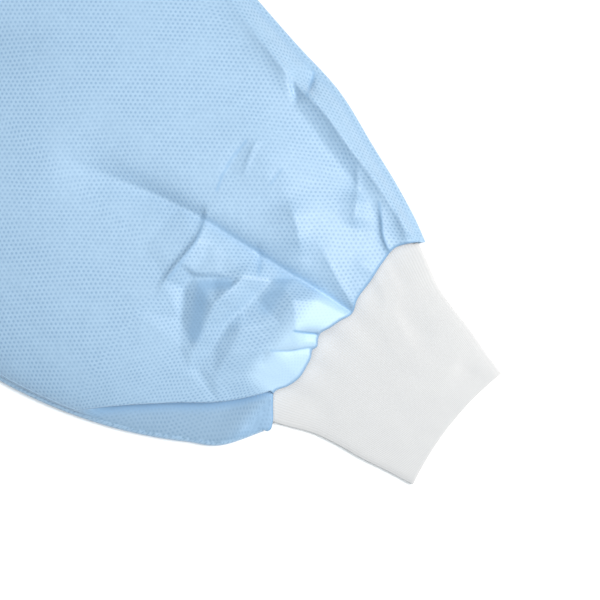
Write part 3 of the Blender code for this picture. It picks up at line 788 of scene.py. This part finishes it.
def sleeve_heights(span, t, at, look):
    """Heights of the upper layer, its fold under the lip, the folded edges and the under layer."""
    keeps = lerp(STRIP_KEEPS_AT_CUFF, STRIP_KEEPS, rise(at.along, *STRIP_SINKS))
    strip_share = lerp(1, keeps, at.lift)
    share = np.where(span == STRIP, strip_share, 1)
    place = (at.along, at.across, at.upper, at.lower)
    height = top_height(*place, share, look, smooth((at.armhole - at.along) / CALM_REACH))
    under_lip = top_height(*place, strip_share, look, 1)
    low = np.minimum(under_lip + LIP_GAP, height)
    curl = np.minimum(LIP_RADIUS, (height - low) / 2)
    climbed, rolled = lip_steps(t)
    fold = lerp(low, height - 2 * curl, climbed) + curl * (1 - np.cos(math.pi * rolled))
    radius = FOLDED_EDGE / 2
    down = radius + radius * np.cos(math.pi * t)
    up = radius - radius * np.cos(math.pi * t)
    return np.choose(span, [height, fold, height, down, np.zeros_like(t), up])


def roll_rim(row, span, t, at, height, look):
    """Curls the rows before the base out over the rim and back down to the knit."""
    turn = lerp(-0.5, 0.5, np.clip(row / ROLL_ROWS, 0, 1)) * math.pi
    curled = at.base - (at.base - at.rim) * np.cos(turn)
    flat_row = at.seam + ROW_STEP_AT_SEAM * row
    in_roll = row < ROLL_ROWS
    along = np.where(in_roll, lerp(flat_row, curled, at.window), at.along)
    narrowed = across_at(span, t, along, look)[0]
    across = np.where(in_roll, lerp(narrowed, at.across, at.window), at.across)
    knit_top = CUFF_SEAM_EDGE + CROWN_AT_SEAM * CUFF_CROWN * bow(at.q, CUFF_BOW) + RIM_GAP
    bottom = lerp(height, np.minimum(knit_top, height), at.window)
    rolled = lerp(bottom, height, (1 + np.sin(turn)) / 2)
    return along, across, np.where(in_roll & (span <= MAIN), rolled, height)


def sleeve_pattern(points, along, across):
    """The pattern's places, measured along the cloth, so that it bends with the folds."""
    u = arc_lengths(points, 1)
    u = u - u[:, [PATTERN_COLUMN]] + across[:, [PATTERN_COLUMN]]
    v = arc_lengths(points, 0)
    v = v - v[[PATTERN_ROW], :] + along[[PATTERN_ROW], :]
    return stack(-DOWN[0] * v + OUT[0] * u, -DOWN[1] * v + OUT[1] * u)


def sleeve_marks(span, along, across, at, look):
    """Where the cloth is plain, where blue shade is painted on rims, edges, tucks, folds and the strip
    under the lip, and where grey shade is painted on that strip.
    """
    on_top = span <= MAIN
    # Painted shade: a dark blue band where the rim rolls down over the knit, and another along the sleeve's
    # upper edge
    painted_blue_shade = RIM_DARK * at.window * fall(along - at.rim, *BEHIND_RIM)
    painted_blue_shade = np.maximum(painted_blue_shade, UPPER_EDGE_DARK * on_top * rise(at.q, *NEAR_UPPER_EDGE))
    # Painted shade along the dark lines of tucks and sharp folds
    for line in look.lines:
        away = beside(line.path, along, across)[0]
        on_line = fall(away / line.width, *BESIDE_LINE)
        painted_blue_shade = np.maximum(painted_blue_shade, line.strength * on_top * on_line)
    # The strip under the lip gets painted shade: blue shade, darkest beside the lip and by the cuff, and
    # grey shade, strongest over the rest of the strip
    in_strip = (span == STRIP) * at.lift
    by_lip = rise(across - lip_across(along, look), *NEAR_LIP)
    by_cuff = fall(along, *NEAR_CUFF)
    painted_grey_shade = lerp(STRIP_GREY_SHADE, STRIP_GREY_SHADE_BY_LIP, by_lip) * lerp(1, STRIP_GREY_SHADE_BY_CUFF, by_cuff)
    in_shade = np.maximum(STRIP_DARK_BY_LIP * by_lip, STRIP_DARK_BY_CUFF * by_cuff)
    painted_blue_shade = np.maximum(painted_blue_shade, in_strip * in_shade)
    return stack(look.plain(along, across), painted_blue_shade, in_strip * painted_grey_shade)


def sleeve_place(look):
    def place(a, b):
        span, t = around(a, SLEEVE_SPANS)
        row = np.rint(b * SLEEVE_ROWS)
        beyond = np.maximum(row - ROLL_ROWS, 0)
        coarse_step = (UNDERARM_SEAM - FINE_ROWS * FINE_STEP) / COARSE_ROWS
        out = np.minimum(beyond, FINE_ROWS) * FINE_STEP + np.maximum(beyond - FINE_ROWS, 0) * coarse_step
        at = settle(span, t, out, look)
        height = sleeve_heights(span, t, at, look)
        along, across, height = roll_rim(row, span, t, at, height, look)
        points = stack(*sleeve_plan(along, across), height)
        pattern = sleeve_pattern(points, along, across)
        return points, pattern, sleeve_marks(span, along, across, at, look)

    return place


# The lobes by the seam show no dots: how far they reach along the sleeve, and their two sides
LEFT_LOBES_ALONG = (20, 9)
LEFT_LOBES_LOWER_SIDE = (-50, 8)
LEFT_LOBES_UPPER_SIDE = (6, 8)
RIGHT_LOBES_ALONG = (9, 10)
RIGHT_LOBES_ACROSS = (20, 20)
RIGHT_LOBES_PLAIN = 0.8


def left_plainness(along, across):
    sides = rise(across, *LEFT_LOBES_LOWER_SIDE) * fall(across, *LEFT_LOBES_UPPER_SIDE)
    return fall(along, *LEFT_LOBES_ALONG) * sides


def right_plainness(along, across):
    return RIGHT_LOBES_PLAIN * fall(along, *RIGHT_LOBES_ALONG) * fall(np.abs(across), *RIGHT_LOBES_ACROSS)


# The knit cuffs

CUFF_SPANS = [Span("top", 96), Span("upper edge", 8), Span("under", 40), Span("lower edge", 8)]
CUFF_COLUMNS = sum(span.count for span in CUFF_SPANS)
CUFF_ROWS = 64

# How far a cuff reaches into its sleeve, how it rises there, and how late its top narrows at the sides
CUFF_TUCK = 3
TUCK_RISE = 0.35
TUCK_FADE = 1.6
TUCK_RISES_OVER = 1.5
CUFF_SQUARENESS = 14

# The cuff's relief: where it ends before the sides, its limits, and the gathers by the seam
CUFF_CALM = 0.3
CUFF_HIGHEST = 0.3
CUFF_DEEPEST = 0.9
GATHER_HEIGHT = 0.35
GATHER_WAVES = 21
GATHER_REACH = 26
CUFF_CRUMPLES = [Crumple(0.5, 26, 4)]

# The pattern's width round a cuff's edge, as a share of the half width
KNIT_ROUND_EDGE = 0.06


def cuff_relief(seed, q, crown, below, x, y):
    """Gathers by the seam, creases and soft waves, which end before the sides."""
    gathers = GATHER_HEIGHT * np.sin(q * GATHER_WAVES + seed) * fall(below, 0, GATHER_REACH)
    waves = crease_height(CUFF_CREASES[seed], x, y, sleeve_plan) + crumpled(CUFF_CRUMPLES, x, y, seed)
    calm = smooth((1 - np.abs(q)) / CUFF_CALM)
    return calm * np.clip(gathers + waves, -CUFF_DEEPEST - crown * 0.5, CUFF_HIGHEST)


def cuff_place(seed, rim):
    def place(a, b):
        span, t = around(a, CUFF_SPANS)
        below = (1 - b) * CUFF_LENGTH
        half = through(CUFF_BELOW, CUFF_HALF, below)
        radius = lerp(CUFF_MOUTH_EDGE, CUFF_SEAM_EDGE, b) / 2
        turn = math.pi * t
        inner = half - radius
        across = np.choose(span, [lerp(-inner, inner, t), inner + radius * np.sin(turn),
                                  lerp(inner, -inner, t), -inner - radius * np.sin(turn)])
        q = np.clip(across / inner, -1, 1)
        share = across / half
        seam = seam_line(share) - SEAM_GAP / 2
        rim_line = rim_at(rim, share * CUFF_HALF[0])
        # The top reaches under the sleeve's rim, except at the sides, where it joins the under layer
        at_side = np.where(span == 0, np.abs(q) ** CUFF_SQUARENESS, 1)
        tucked = lerp(np.maximum(rim_line, seam), seam, at_side) + CUFF_TUCK
        mouth = -CUFF_LENGTH + CUFF_MOUTH_ARC * (1 - share**2) + CUFF_MOUTH_SLANT * share
        along = lerp(mouth, tucked, b)
        x, y = sleeve_plan(along, across)
        crown = CUFF_CROWN * lerp(1, CROWN_AT_SEAM, b**2) * bow(q, CUFF_BOW)
        top = 2 * radius + crown + cuff_relief(seed, q, crown, below, x, y)
        height = np.choose(span, [top, radius + radius * np.cos(turn),
                                  0 * t, radius - radius * np.cos(turn)])
        # Inside the sleeve the cuff stands off the table, clear of the sleeve's under layer
        near_table = 1 - height / CUFF_SEAM_EDGE / TUCK_FADE
        height = height + TUCK_RISE * rise(along - seam, 0, TUCK_RISES_OVER) * near_table
        edge = KNIT_ROUND_EDGE
        width = np.choose(span, [lerp(-1, 1, t), 1 + edge * t,
                                 lerp(1 + edge, 3 + edge, t), 3 + edge + edge * t])
        pattern = stack(width * CUFF_HALF[0], along)
        return stack(x, y, height), pattern, stack(0 * t, 0, 0)

    return place


CUFF_CREASES = {
    1: [
        Crease("gather line", ((8, 36), (-12, 20), (-26, 12), (-44, 10)), 0.7, 8, 5, 0.5, 0.0, 1.0, 1.5),
        Crease("seam hollow", ((4, -46), (-10, -40), (-22, -32)), -0.5, 6, 7, 0.6, 0.0, 1.0, 1.6),
        Crease("side hollow", ((-4, 30), (-20, 24), (-36, 26)), -0.7, 6, 5, 0.2, 0.0, 1.0, 1.6),
        Crease("mouth hollow", ((-62, 26), (-48, 22)), -0.6, 5, 5, 0.5, 0.0, 1.0, 1.6),
    ],
    2: [
        Crease("gather line", ((8, -30), (-16, -18), (-40, -12)), 0.7, 6, 8, 0.5, 0.0, 1.0, 1.5),
        Crease("seam hollow", ((2, 46), (-14, 40), (-26, 32)), -1.1, 5, 4, 0.6, 0.0, 1.0, 1.6),
    ],
}


# The body


def half_width(y):
    underarm_y, shoulder_y = NECK_Y - UNDERARM_DROP, NECK_Y - SHOULDER_DROP
    over = lerp(UNDERARM_HALF, SHOULDER_HALF, (y - underarm_y) / (shoulder_y - underarm_y))
    under = lerp(HEM_HALF, UNDERARM_HALF, (y - HEM_Y) / (underarm_y - HEM_Y))
    return np.where(y >= underarm_y, over, under)


def side_y(v):
    return lerp(HEM_Y + HEM_CORNER_LIFT, NECK_Y - SHOULDER_DROP, v)


def row_place(b, rows):
    """Place up the body of a grid's row, with a row exactly at the underarm."""
    underarm = (NECK_Y - UNDERARM_DROP - side_y(0)) / (side_y(1) - side_y(0))
    row = round(rows * underarm) / rows
    return np.where(b <= row, underarm * b / row, lerp(underarm, 1, (b - row) / (1 - row)))


def shoulder_line(x):
    return NECK_Y - SHOULDER_DROP * np.maximum(np.abs(x) - NECK_HALF, 0) / (SHOULDER_HALF - NECK_HALF)


def neckline(x, drop):
    return NECK_Y - drop * np.sqrt(np.maximum(1 - (x / NECK_HALF) ** 2, 0))


def body_plan(u, v, neck_drop):
    """Plan place of a point of a body panel, u running across it from -1 to 1 at its edges."""
    top_x = u * SHOULDER_HALF
    top = np.where(np.abs(u) < NECK_U, neckline(top_x, neck_drop), shoulder_line(top_x))
    return u * half_width(side_y(v)), lerp(HEM_Y + HEM_CORNER_LIFT * u * u, top, v)


def front_plan(x, drop):
    return x, NECK_Y - drop


# How full the front's bows are, how deep its folds go at most, and how it is crumpled
FRONT_BOW = 0.6
ARMHOLE_BOW = 0.8
FRONT_DEEPEST = 1.6
FRONT_CRUMPLES = [Crumple(2.4, 85, 3), Crumple(1.2, 33, 5)]


def front_height(x, y):
    """Height of the front, which bows up over the body and meets the sleeves at the armholes."""
    from_shoulder = shoulder_line(x) - y
    side = half_width(y)
    u = np.minimum(np.abs(x) / side, 1)
    from_side = side * (1 - u)
    q = np.clip(2 * (y - NECK_Y + UNDERARM_DROP) / (UNDERARM_DROP - SHOULDER_DROP) - 1, -1, 1)
    body = FRONT_CROWN * bow(u, FRONT_BOW) * rise(from_shoulder, 0, SHOULDER_REACH)
    armhole = ARMHOLE_CROWN * bow(q, ARMHOLE_BOW) * fall(from_side, 0, ARMHOLE_REACH)
    calm = rise(from_side, 0, CALM_REACH) * rise(from_shoulder, 0, CALM_REACH)
    relief = crease_height(FRONT_CREASES, x, y, front_plan) + crumpled(FRONT_CRUMPLES, x, y)
    return SIDE_TOP + body + armhole + calm * np.maximum(relief, -FRONT_DEEPEST)


FRONT_GRID = (148, 196)
BACK_GRID = (72, 130)
# The hem is folded double over this width, and is this much higher
HEM_FOLD = 14
HEM_STEP = 0.5
# Columns of a back panel near the centre. The panel on top comes down where the other one ends.
OVER_ENDS = 54
OVER_DOWN = 70
OVERLAP_COLUMNS = (-BACK_OVERLAP, -36, -22, 0, 22, 36, OVER_ENDS, OVER_DOWN)


def front_place(a, b):
    neck_a = round(FRONT_GRID[0] * (1 - NECK_U) / 2) / FRONT_GRID[0]
    left = lerp(NECK_U, 1, (a - 1 + neck_a) / neck_a)
    right = lerp(-1, -NECK_U, a / neck_a)
    middle = NECK_U * np.sin(np.clip((a - neck_a) / (1 - 2 * neck_a) - 0.5, -0.5, 0.5) * math.pi)
    u = np.where(a < neck_a, right, np.where(a > 1 - neck_a, left, middle))
    x, y = body_plan(u, row_place(b, FRONT_GRID[1]), FRONT_NECK_DROP)
    from_hem = y - (HEM_Y + HEM_CORNER_LIFT * u * u)
    height = front_height(x, y) + HEM_STEP * fall(from_hem, HEM_FOLD, 2)
    return stack(x, y, height), stack(x, y), stack(0 * x, 0, 0)


def back_place(raised):
    def place(a, b):
        v = row_place(b, BACK_GRID[1])
        half = half_width(side_y(v))
        column = np.rint(a * BACK_GRID[0])
        inner = BACK_GRID[0] // 3
        near_x = np.interp(column, np.linspace(0, inner, len(OVERLAP_COLUMNS)), OVERLAP_COLUMNS)
        outer = lerp(OVER_DOWN / half, 1, (column - inner) / (BACK_GRID[0] - inner))
        x, y = body_plan(np.where(column <= inner, near_x / half, outer), v, BACK_NECK_DROP)
        over = (CLOTH + SEAM_GAP) * fall(x, OVER_ENDS, OVER_DOWN - OVER_ENDS) if raised else 0
        return stack(x, y, CLOTH + over), stack(x, y), stack(0 * x, 0, 0)

    return place


BINDING_GRID = (120, 8)
BINDING_WALL = 0.6
BINDING_TURN = 88
BINDING_INSET = 1
BINDING_LIFT = CLOTH + SEAM_GAP / 2
BINDING_ROUNDING = 0.5
BINDING_PLAIN = 0.4


def binding_place(a, b):
    """A strip along the neckline's curve, a little outside its edge, on top of the front."""
    turn = np.radians(lerp(-BINDING_TURN, BINDING_TURN, a))
    edge_x, edge_y = NECK_HALF * np.sin(turn), NECK_Y - FRONT_NECK_DROP * np.cos(turn)
    out_x, out_y = FRONT_NECK_DROP * np.sin(turn), -NECK_HALF * np.cos(turn)
    size = np.hypot(out_x, out_y)
    inset = BINDING_INSET + BINDING_WIDTH * (1 - b)
    x, y = edge_x + out_x / size * inset, edge_y + out_y / size * inset
    height = front_height(x, y) + BINDING_LIFT + BINDING_ROUNDING * (1 - (2 * b - 1) ** 8)
    run = turn * (NECK_HALF + FRONT_NECK_DROP) / 2
    return stack(x, y, height), stack(run, BINDING_WIDTH * b), stack(0 * x + BINDING_PLAIN, 0, 0)


# Ties

NECK_TIE_GRID = (8, 180)
WAIST_TIE_GRID = (10, 320)
TIE_WALL = 0.6
NECK_TIE_RIPPLE = 1.6
WAIST_TIE_RIPPLE = 2.4
# Height and place of a tie's hem, and the lengths of its waves and of its calm ends
TIE_HEM = 0.25
TIE_HEM_SIDE = (0.36, 0.05)
TIE_LONG_WAVE = 31
TIE_SHORT_WAVE = 11
TIE_CALM_AT_ROOT = 60
TIE_CALM_AT_END = 20
# A tie's direction is read over this length ahead and behind
TIE_LOOK_AHEAD = 3
TIE_PLAIN = 0.25
# How far a tie runs straight out from its seam
NECK_TIE_ROOT = 24
WAIST_TIE_ROOT = 26
WAIST_TIE_STEPS = ((60, -22), (84, -80), (88, -160), (74, -260), (70, -360), (86, -450), (100, -540),
                   (96, -620), (104, -680))


def neck_tie_path(lifted):
    root_x = BACK_OVERLAP - NECK_TIE_WIDTH
    edge_y = neckline(root_x, BACK_NECK_DROP)
    slope = BACK_NECK_DROP * root_x / NECK_HALF**2 / math.sqrt(1 - (root_x / NECK_HALF) ** 2)
    out = Vector((-slope, 1)).normalized()
    peak = NECK_Y + NECK_TIE_RISE - NECK_TIE_WIDTH / 2
    lift = CLOTH + SEAM_GAP if lifted else 0
    return [
        (root_x + out.x * SEAM_GAP, edge_y + out.y * SEAM_GAP, lift),
        (root_x + out.x * NECK_TIE_ROOT, edge_y + out.y * NECK_TIE_ROOT, 0),
        (42, NECK_Y + 48, 0),
        (78, peak - 10, 0),
        (125, peak, 0),
        (180, NECK_Y + 66, 0),
        (232, NECK_Y + 62, 0),
        (280, NECK_Y + 78, 0),
    ]


def waist_tie_path():
    waist_y = NECK_Y - WAIST_DROP
    side_x = float(half_width(np.array(waist_y)))
    flare = (HEM_HALF - UNDERARM_HALF) / (GOWN_LENGTH - UNDERARM_DROP)
    out = Vector((1, flare)).normalized()
    root = [(side_x + out.x * far, waist_y + out.y * far, 0) for far in (SEAM_GAP, WAIST_TIE_ROOT)]
    return root + [(side_x + x, waist_y + y, 0) for x, y in WAIST_TIE_STEPS]


def tie_place(path, width, ripple):
    """A ribbon that follows a path, with hemmed edges and a few shallow waves."""
    line = np.array(rounded(path, 14))
    length = np.concatenate([[0], np.cumsum(np.linalg.norm(np.diff(line[:, :2], axis=0), axis=1))])

    def place(a, b):
        at = b * length[-1]
        x, y, z = (np.interp(at, length, line[:, k]) for k in range(3))
        ahead = np.clip(at + TIE_LOOK_AHEAD, 0, length[-1])
        behind = np.clip(at - TIE_LOOK_AHEAD, 0, length[-1])
        run_x = np.interp(ahead, length, line[:, 0]) - np.interp(behind, length, line[:, 0])
        run_y = np.interp(ahead, length, line[:, 1]) - np.interp(behind, length, line[:, 1])
        size = np.hypot(run_x, run_y)
        side = (a - 0.5) * width
        free = smooth(at / TIE_CALM_AT_ROOT) * smooth((length[-1] - at) / TIE_CALM_AT_END)
        long_wave = 0.5 + 0.5 * np.sin(at / TIE_LONG_WAVE + 1)
        wave = ripple * free * long_wave * (0.55 + 0.45 * np.sin(at / TIE_SHORT_WAVE + 6 * a))
        edge = TIE_HEM * rise(np.abs(a - 0.5), *TIE_HEM_SIDE)
        points = stack(x + run_y / size * side, y - run_x / size * side, z + CLOTH + wave + edge)
        return points, stack(at, side), stack(0 * a + TIE_PLAIN, 0, 0)

    return place


# Materials


def set_inputs(node, values):
    for name, value in values.items():
        node.inputs[name].default_value = value


def maths(tree, operation, first, second=None, third=None):
    """A Math node over sockets or numbers, giving its output."""
    made = tree.nodes.new("ShaderNodeMath")
    made.operation = operation
    for socket, value in zip(made.inputs, (first, second, third)):
        if value is None:
            continue
        if isinstance(value, (int, float)):
            socket.default_value = value
        else:
            tree.links.new(value, socket)
    return made.outputs[0]


def ramp(tree, value, low, high):
    """0 below low, 1 above high and smooth between."""
    made = tree.nodes.new("ShaderNodeMapRange")
    made.interpolation_type = "SMOOTHSTEP"
    set_inputs(made, {"From Min": low, "From Max": high})
    tree.links.new(value, made.inputs["Value"])
    return made.outputs[0]


def blend_colours(tree, share, first, second):
    made = tree.nodes.new("ShaderNodeMix")
    made.data_type = "RGBA"
    tree.links.new(share, made.inputs[0])
    for socket, value in zip((made.inputs[6], made.inputs[7]), (first, second)):
        if isinstance(value, tuple):
            socket.default_value = (*value, 1)
        else:
            tree.links.new(value, socket)
    return made.outputs[2]


def noise(tree, vector, scale, detail, roughness):
    made = tree.nodes.new("ShaderNodeTexNoise")
    set_inputs(made, {"Scale": scale, "Detail": detail, "Roughness": roughness})
    tree.links.new(vector, made.inputs["Vector"])
    return made.outputs["Fac"]


def add_bump(tree, shader, relief, strength, depth):
    """Raises the surface by the relief, with the depth in metres."""
    bump = tree.nodes.new("ShaderNodeBump")
    set_inputs(bump, {"Strength": strength, "Distance": depth})
    tree.links.new(relief, bump.inputs["Height"])
    tree.links.new(bump.outputs[0], shader.inputs["Normal"])


def pattern_places(tree):
    """The cloth's own coordinates in millimetres: the vector, its u and its v."""
    uv = tree.nodes.new("ShaderNodeUVMap")
    uv.uv_map = "cloth"
    mapping = tree.nodes.new("ShaderNodeMapping")
    mapping.inputs["Scale"].default_value = (1000, 1000, 1000)
    tree.links.new(uv.outputs[0], mapping.inputs[0])
    split = tree.nodes.new("ShaderNodeSeparateXYZ")
    tree.links.new(mapping.outputs[0], split.inputs[0])
    return mapping.outputs[0], split.outputs[0], split.outputs[1]


# The pattern's sizes in mm: the embossed dots, and the knit's wales and courses
DOT_PITCH = 2.23
DOT_ROWS = 1.98
DOT_RADIUS = 0.58
DOT_SOFTNESS = 0.34
WALE_PITCH = 1.15
COURSE_PITCH = 0.85

# Noises as scale per mm, detail and roughness, and bumps as strength and depth in metres
PATCHES = (0.055, 2.0, 0.5)
CLOTH_CLOUDS = (0.30, 4.0, 0.65)
CLOTH_FIBRES = (2.6, 3.0, 0.7)
KNIT_FUZZ = (1.7, 3.0, 0.7)
KNIT_CLOUDS = (0.05, 3.0, 0.6)
NONWOVEN_BUMP = (0.35, 0.00018)
KNIT_BUMP = (0.22, 0.00022)

NONWOVEN_SURFACE = {"Roughness": 0.5, "Specular IOR Level": 0.6, "Sheen Weight": 0.12,
                    "Sheen Roughness": 0.5}
KNIT_SURFACE = {"Roughness": 0.9, "Specular IOR Level": 0.2, "Sheen Weight": 0.2}
TABLE_SURFACE = {"Roughness": 0.9, "Specular IOR Level": 0.1}


def new_material(name, surface):
    material = bpy.data.materials.new(name)
    material.use_nodes = True
    tree = material.node_tree
    shader = tree.nodes["Principled BSDF"]
    set_inputs(shader, surface)
    return material, tree, shader


def cell_places(tree, place, pitch, shift):
    """How far each point is from the middle of its cell, along one direction of the pattern."""
    cell = maths(tree, "DIVIDE", place, pitch)
    if shift is not None:
        cell = maths(tree, "ADD", cell, shift)
    off = maths(tree, "SUBTRACT", maths(tree, "FRACT", cell), 0.5)
    return maths(tree, "MULTIPLY", off, pitch)


def embossed_dots(tree, u, v):
    """1 in the embossed dots, which stand in rows that are offset by half a pitch."""
    row = maths(tree, "FLOOR", maths(tree, "DIVIDE", v, DOT_ROWS))
    half = maths(tree, "MULTIPLY", maths(tree, "FLOORED_MODULO", row, 2.0), 0.5)
    beside_dot = cell_places(tree, u, DOT_PITCH, half)
    above_dot = cell_places(tree, v, DOT_ROWS, None)
    squares = [maths(tree, "POWER", off, 2.0) for off in (beside_dot, above_dot)]
    away = maths(tree, "SQRT", maths(tree, "ADD", *squares))
    return ramp(tree, away, DOT_RADIUS + DOT_SOFTNESS, DOT_RADIUS - DOT_SOFTNESS)


def marks_of(tree):
    """Where the cloth is plain, where blue shade is painted on it, and where grey shade is painted on it,
    from 0 to 1.
    """
    attribute = tree.nodes.new("ShaderNodeAttribute")
    attribute.attribute_name = "marks"
    split = tree.nodes.new("ShaderNodeSeparateXYZ")
    tree.links.new(attribute.outputs["Vector"], split.inputs[0])
    return split.outputs


def dot_strength(tree, vector, plain, painted_blue_shade):
    """The dots fade where the cloth is plain or carries painted blue shade, and come and go over the rest.
    """
    hidden = maths(tree, "MULTIPLY", maths(tree, "MAXIMUM", plain, painted_blue_shade), 0.85)
    patchy = ramp(tree, noise(tree, vector, *PATCHES), 0.30, 0.62)
    return maths(tree, "MULTIPLY", maths(tree, "SUBTRACT", 1.0, hidden),
                 maths(tree, "MULTIPLY_ADD", patchy, 0.4, 0.6))


def nonwoven(name):
    material, tree, shader = new_material(name, NONWOVEN_SURFACE)
    vector, u, v = pattern_places(tree)
    plain, painted_blue_shade, painted_grey_shade = marks_of(tree)
    dots = maths(tree, "MULTIPLY", embossed_dots(tree, u, v), dot_strength(tree, vector, plain, painted_blue_shade))
    clouds = noise(tree, vector, *CLOTH_CLOUDS)
    fibres = noise(tree, vector, *CLOTH_FIBRES)
    mixed = maths(tree, "MULTIPLY_ADD", fibres, 0.45, maths(tree, "MULTIPLY", clouds, 0.55))
    cloudy = ramp(tree, mixed, 0.36, 0.66)
    colour = blend_colours(tree, cloudy, linear(CLOTH_CLOUD), linear(CLOTH_LIGHT))
    # The clouded colour takes the plain cloth, the painted blue shade, the dots and the painted grey shade,
    # in turn
    layers = ((plain, CLOTH_PLAIN), (painted_blue_shade, CLOTH_PAINTED_BLUE_SHADE), (dots, CLOTH_DOT), (painted_grey_shade, CLOTH_PAINTED_GREY_SHADE))
    for share, tint in layers:
        colour = blend_colours(tree, share, colour, linear(tint))
    tree.links.new(colour, shader.inputs["Base Color"])
    sunk = maths(tree, "MULTIPLY", dots, 0.9)
    relief = maths(tree, "SUBTRACT", maths(tree, "MULTIPLY", fibres, 0.5), sunk)
    add_bump(tree, shader, relief, *NONWOVEN_BUMP)
    return material


def knit_cloth(name):
    material, tree, shader = new_material(name, KNIT_SURFACE)
    vector, u, v = pattern_places(tree)
    wales = maths(tree, "SINE", maths(tree, "MULTIPLY", u, 2 * math.pi / WALE_PITCH))
    along_wale = maths(tree, "MULTIPLY", v, 2 * math.pi / COURSE_PITCH)
    courses = maths(tree, "SINE", maths(tree, "ADD", along_wale, maths(tree, "MULTIPLY", wales, 1.1)))
    stitches = maths(tree, "MULTIPLY_ADD", courses, 0.35, wales)
    fuzz = noise(tree, vector, *KNIT_FUZZ)
    clouds = noise(tree, vector, *KNIT_CLOUDS)
    soft = maths(tree, "MULTIPLY_ADD", fuzz, 0.25, maths(tree, "MULTIPLY", clouds, 0.45))
    tone = maths(tree, "ADD", maths(tree, "MULTIPLY_ADD", stitches, 0.04, 0.35), soft)
    colour = blend_colours(tree, ramp(tree, tone, 0.35, 0.95), linear(KNIT_SHADE), linear(KNIT_LIGHT))
    tree.links.new(colour, shader.inputs["Base Color"])
    add_bump(tree, shader, maths(tree, "MULTIPLY_ADD", fuzz, 0.6, stitches), *KNIT_BUMP)
    return material


def floor_material():
    material, _, shader = new_material("white_table", TABLE_SURFACE)
    shader.inputs["Base Color"].default_value = (*linear(FLOOR_WHITE), 1)
    return material


# Putting it together


def finish_piece(piece, node_name):
    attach(piece, "root")
    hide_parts(node_name)


def make_sleeves(blue):
    looks = {
        "left": SleeveLook(LEFT_SLEEVE_CREASES, LEFT_SLEEVE_BENDS, LEFT_DARK_LINES, LEFT_RIM, LEFT_LIP, 1,
                           left_plainness),
        "right": SleeveLook(RIGHT_SLEEVE_CREASES, None, [], RIGHT_RIM, RIGHT_LIP, 6, right_plainness),
    }
    for side, look in looks.items():
        piece = cloth_piece(f"{side}_sleeve", (SLEEVE_COLUMNS, SLEEVE_ROWS), sleeve_place(look), blue,
                            wrap=True, mirrored=side == "right")
        finish_piece(piece, f"sleeve_{side}")


def make_cuffs(knit):
    for seed, (side, rim) in enumerate((("left", LEFT_RIM), ("right", RIGHT_RIM)), 1):
        piece = cloth_piece(f"{side}_cuff", (CUFF_COLUMNS, CUFF_ROWS), cuff_place(seed, rim), knit,
                            wrap=True, mirrored=side == "right", wall=KNIT)
        finish_piece(piece, f"cuff_{side}")


def make_body(blue):
    front = cloth_piece("front", FRONT_GRID, front_place, blue, wall=CLOTH)
    finish_piece(front, "front_panel")
    for side in ("left", "right"):
        back = cloth_piece(f"{side}_back", BACK_GRID, back_place(side == "left"), blue, wall=CLOTH,
                           mirrored=side == "right")
        finish_piece(back, f"back_panel_{side}")
    binding = cloth_piece("neckline_binding", BINDING_GRID, binding_place, blue, wall=BINDING_WALL)
    finish_piece(binding, "neck_binding")


def make_ties(blue):
    for side in ("left", "right"):
        # Each back panel crosses the centre, so its neck tie comes from the other side of the neck
        place = tie_place(neck_tie_path(side == "left"), NECK_TIE_WIDTH, NECK_TIE_RIPPLE)
        tie = cloth_piece(f"{side}_neck_tie", NECK_TIE_GRID, place, blue, mirrored=side == "left",
                          wall=TIE_WALL)
        finish_piece(tie, f"neck_tie_{side}")
        place = tie_place(waist_tie_path(), WAIST_TIE_WIDTH, WAIST_TIE_RIPPLE)
        tie = cloth_piece(f"{side}_waist_tie", WAIST_TIE_GRID, place, blue, mirrored=side == "right",
                          wall=TIE_WALL)
        finish_piece(tie, f"waist_tie_{side}")


TABLE_HALF = 4
TABLE_DROP = 0.0002


def make_floor():
    bm = bmesh.new()
    bmesh.ops.create_grid(bm, x_segments=1, y_segments=1, size=TABLE_HALF)
    bmesh.ops.translate(bm, vec=(0, 0, -TABLE_DROP), verts=bm.verts)
    mesh = bpy.data.meshes.new("table_top")
    bm.to_mesh(mesh)
    bm.free()
    mesh.materials.append(floor_material())
    floor = bpy.data.objects.new("table_top", mesh)
    bpy.context.scene.collection.objects.link(floor)


def make_camera():
    mouth_x, mouth_y = sleeve_plan(-CUFF_LENGTH, 0)
    spot = (mouth_x + VIEW_FROM_CUFF[0], mouth_y + VIEW_FROM_CUFF[1], VIEW_HEIGHT)
    target = Vector([c * MM for c in spot])
    camera = bpy.data.cameras.new("camera")
    camera.lens = LENS
    camera.sensor_width = SENSOR
    eye = bpy.data.objects.new("camera", camera)
    eye.location = target + Vector((0, 0, VIEW_WIDTH * MM * LENS / SENSOR))
    bpy.context.scene.collection.objects.link(eye)
    bpy.context.scene.camera = eye
    return target


def area_light(lamp, target):
    data = bpy.data.lights.new(lamp.name, "AREA")
    data.shape = "SQUARE"
    data.size = lamp.size
    data.energy = lamp.power
    data.color = lamp.colour
    light = bpy.data.objects.new(lamp.name, data)
    light.location = target + Vector(lamp.place)
    light.rotation_euler = (light.location - target).to_track_quat("Z", "Y").to_euler()
    bpy.context.scene.collection.objects.link(light)


def make_lights(target):
    for lamp in LAMPS:
        area_light(lamp, target)
    world = bpy.data.worlds.new("studio")
    world.use_nodes = True
    background = world.node_tree.nodes["Background"]
    background.inputs[0].default_value = (*WORLD_COLOUR, 1)
    background.inputs[1].default_value = WORLD_LIGHT
    bpy.context.scene.world = world
    bpy.context.scene.view_settings.view_transform = "Standard"


blue = nonwoven("light_blue_nonwoven")
knit = knit_cloth("white_knit")
make_sleeves(blue)
make_cuffs(knit)
make_body(blue)
make_ties(blue)
make_floor()
target = make_camera()
make_lights(target)
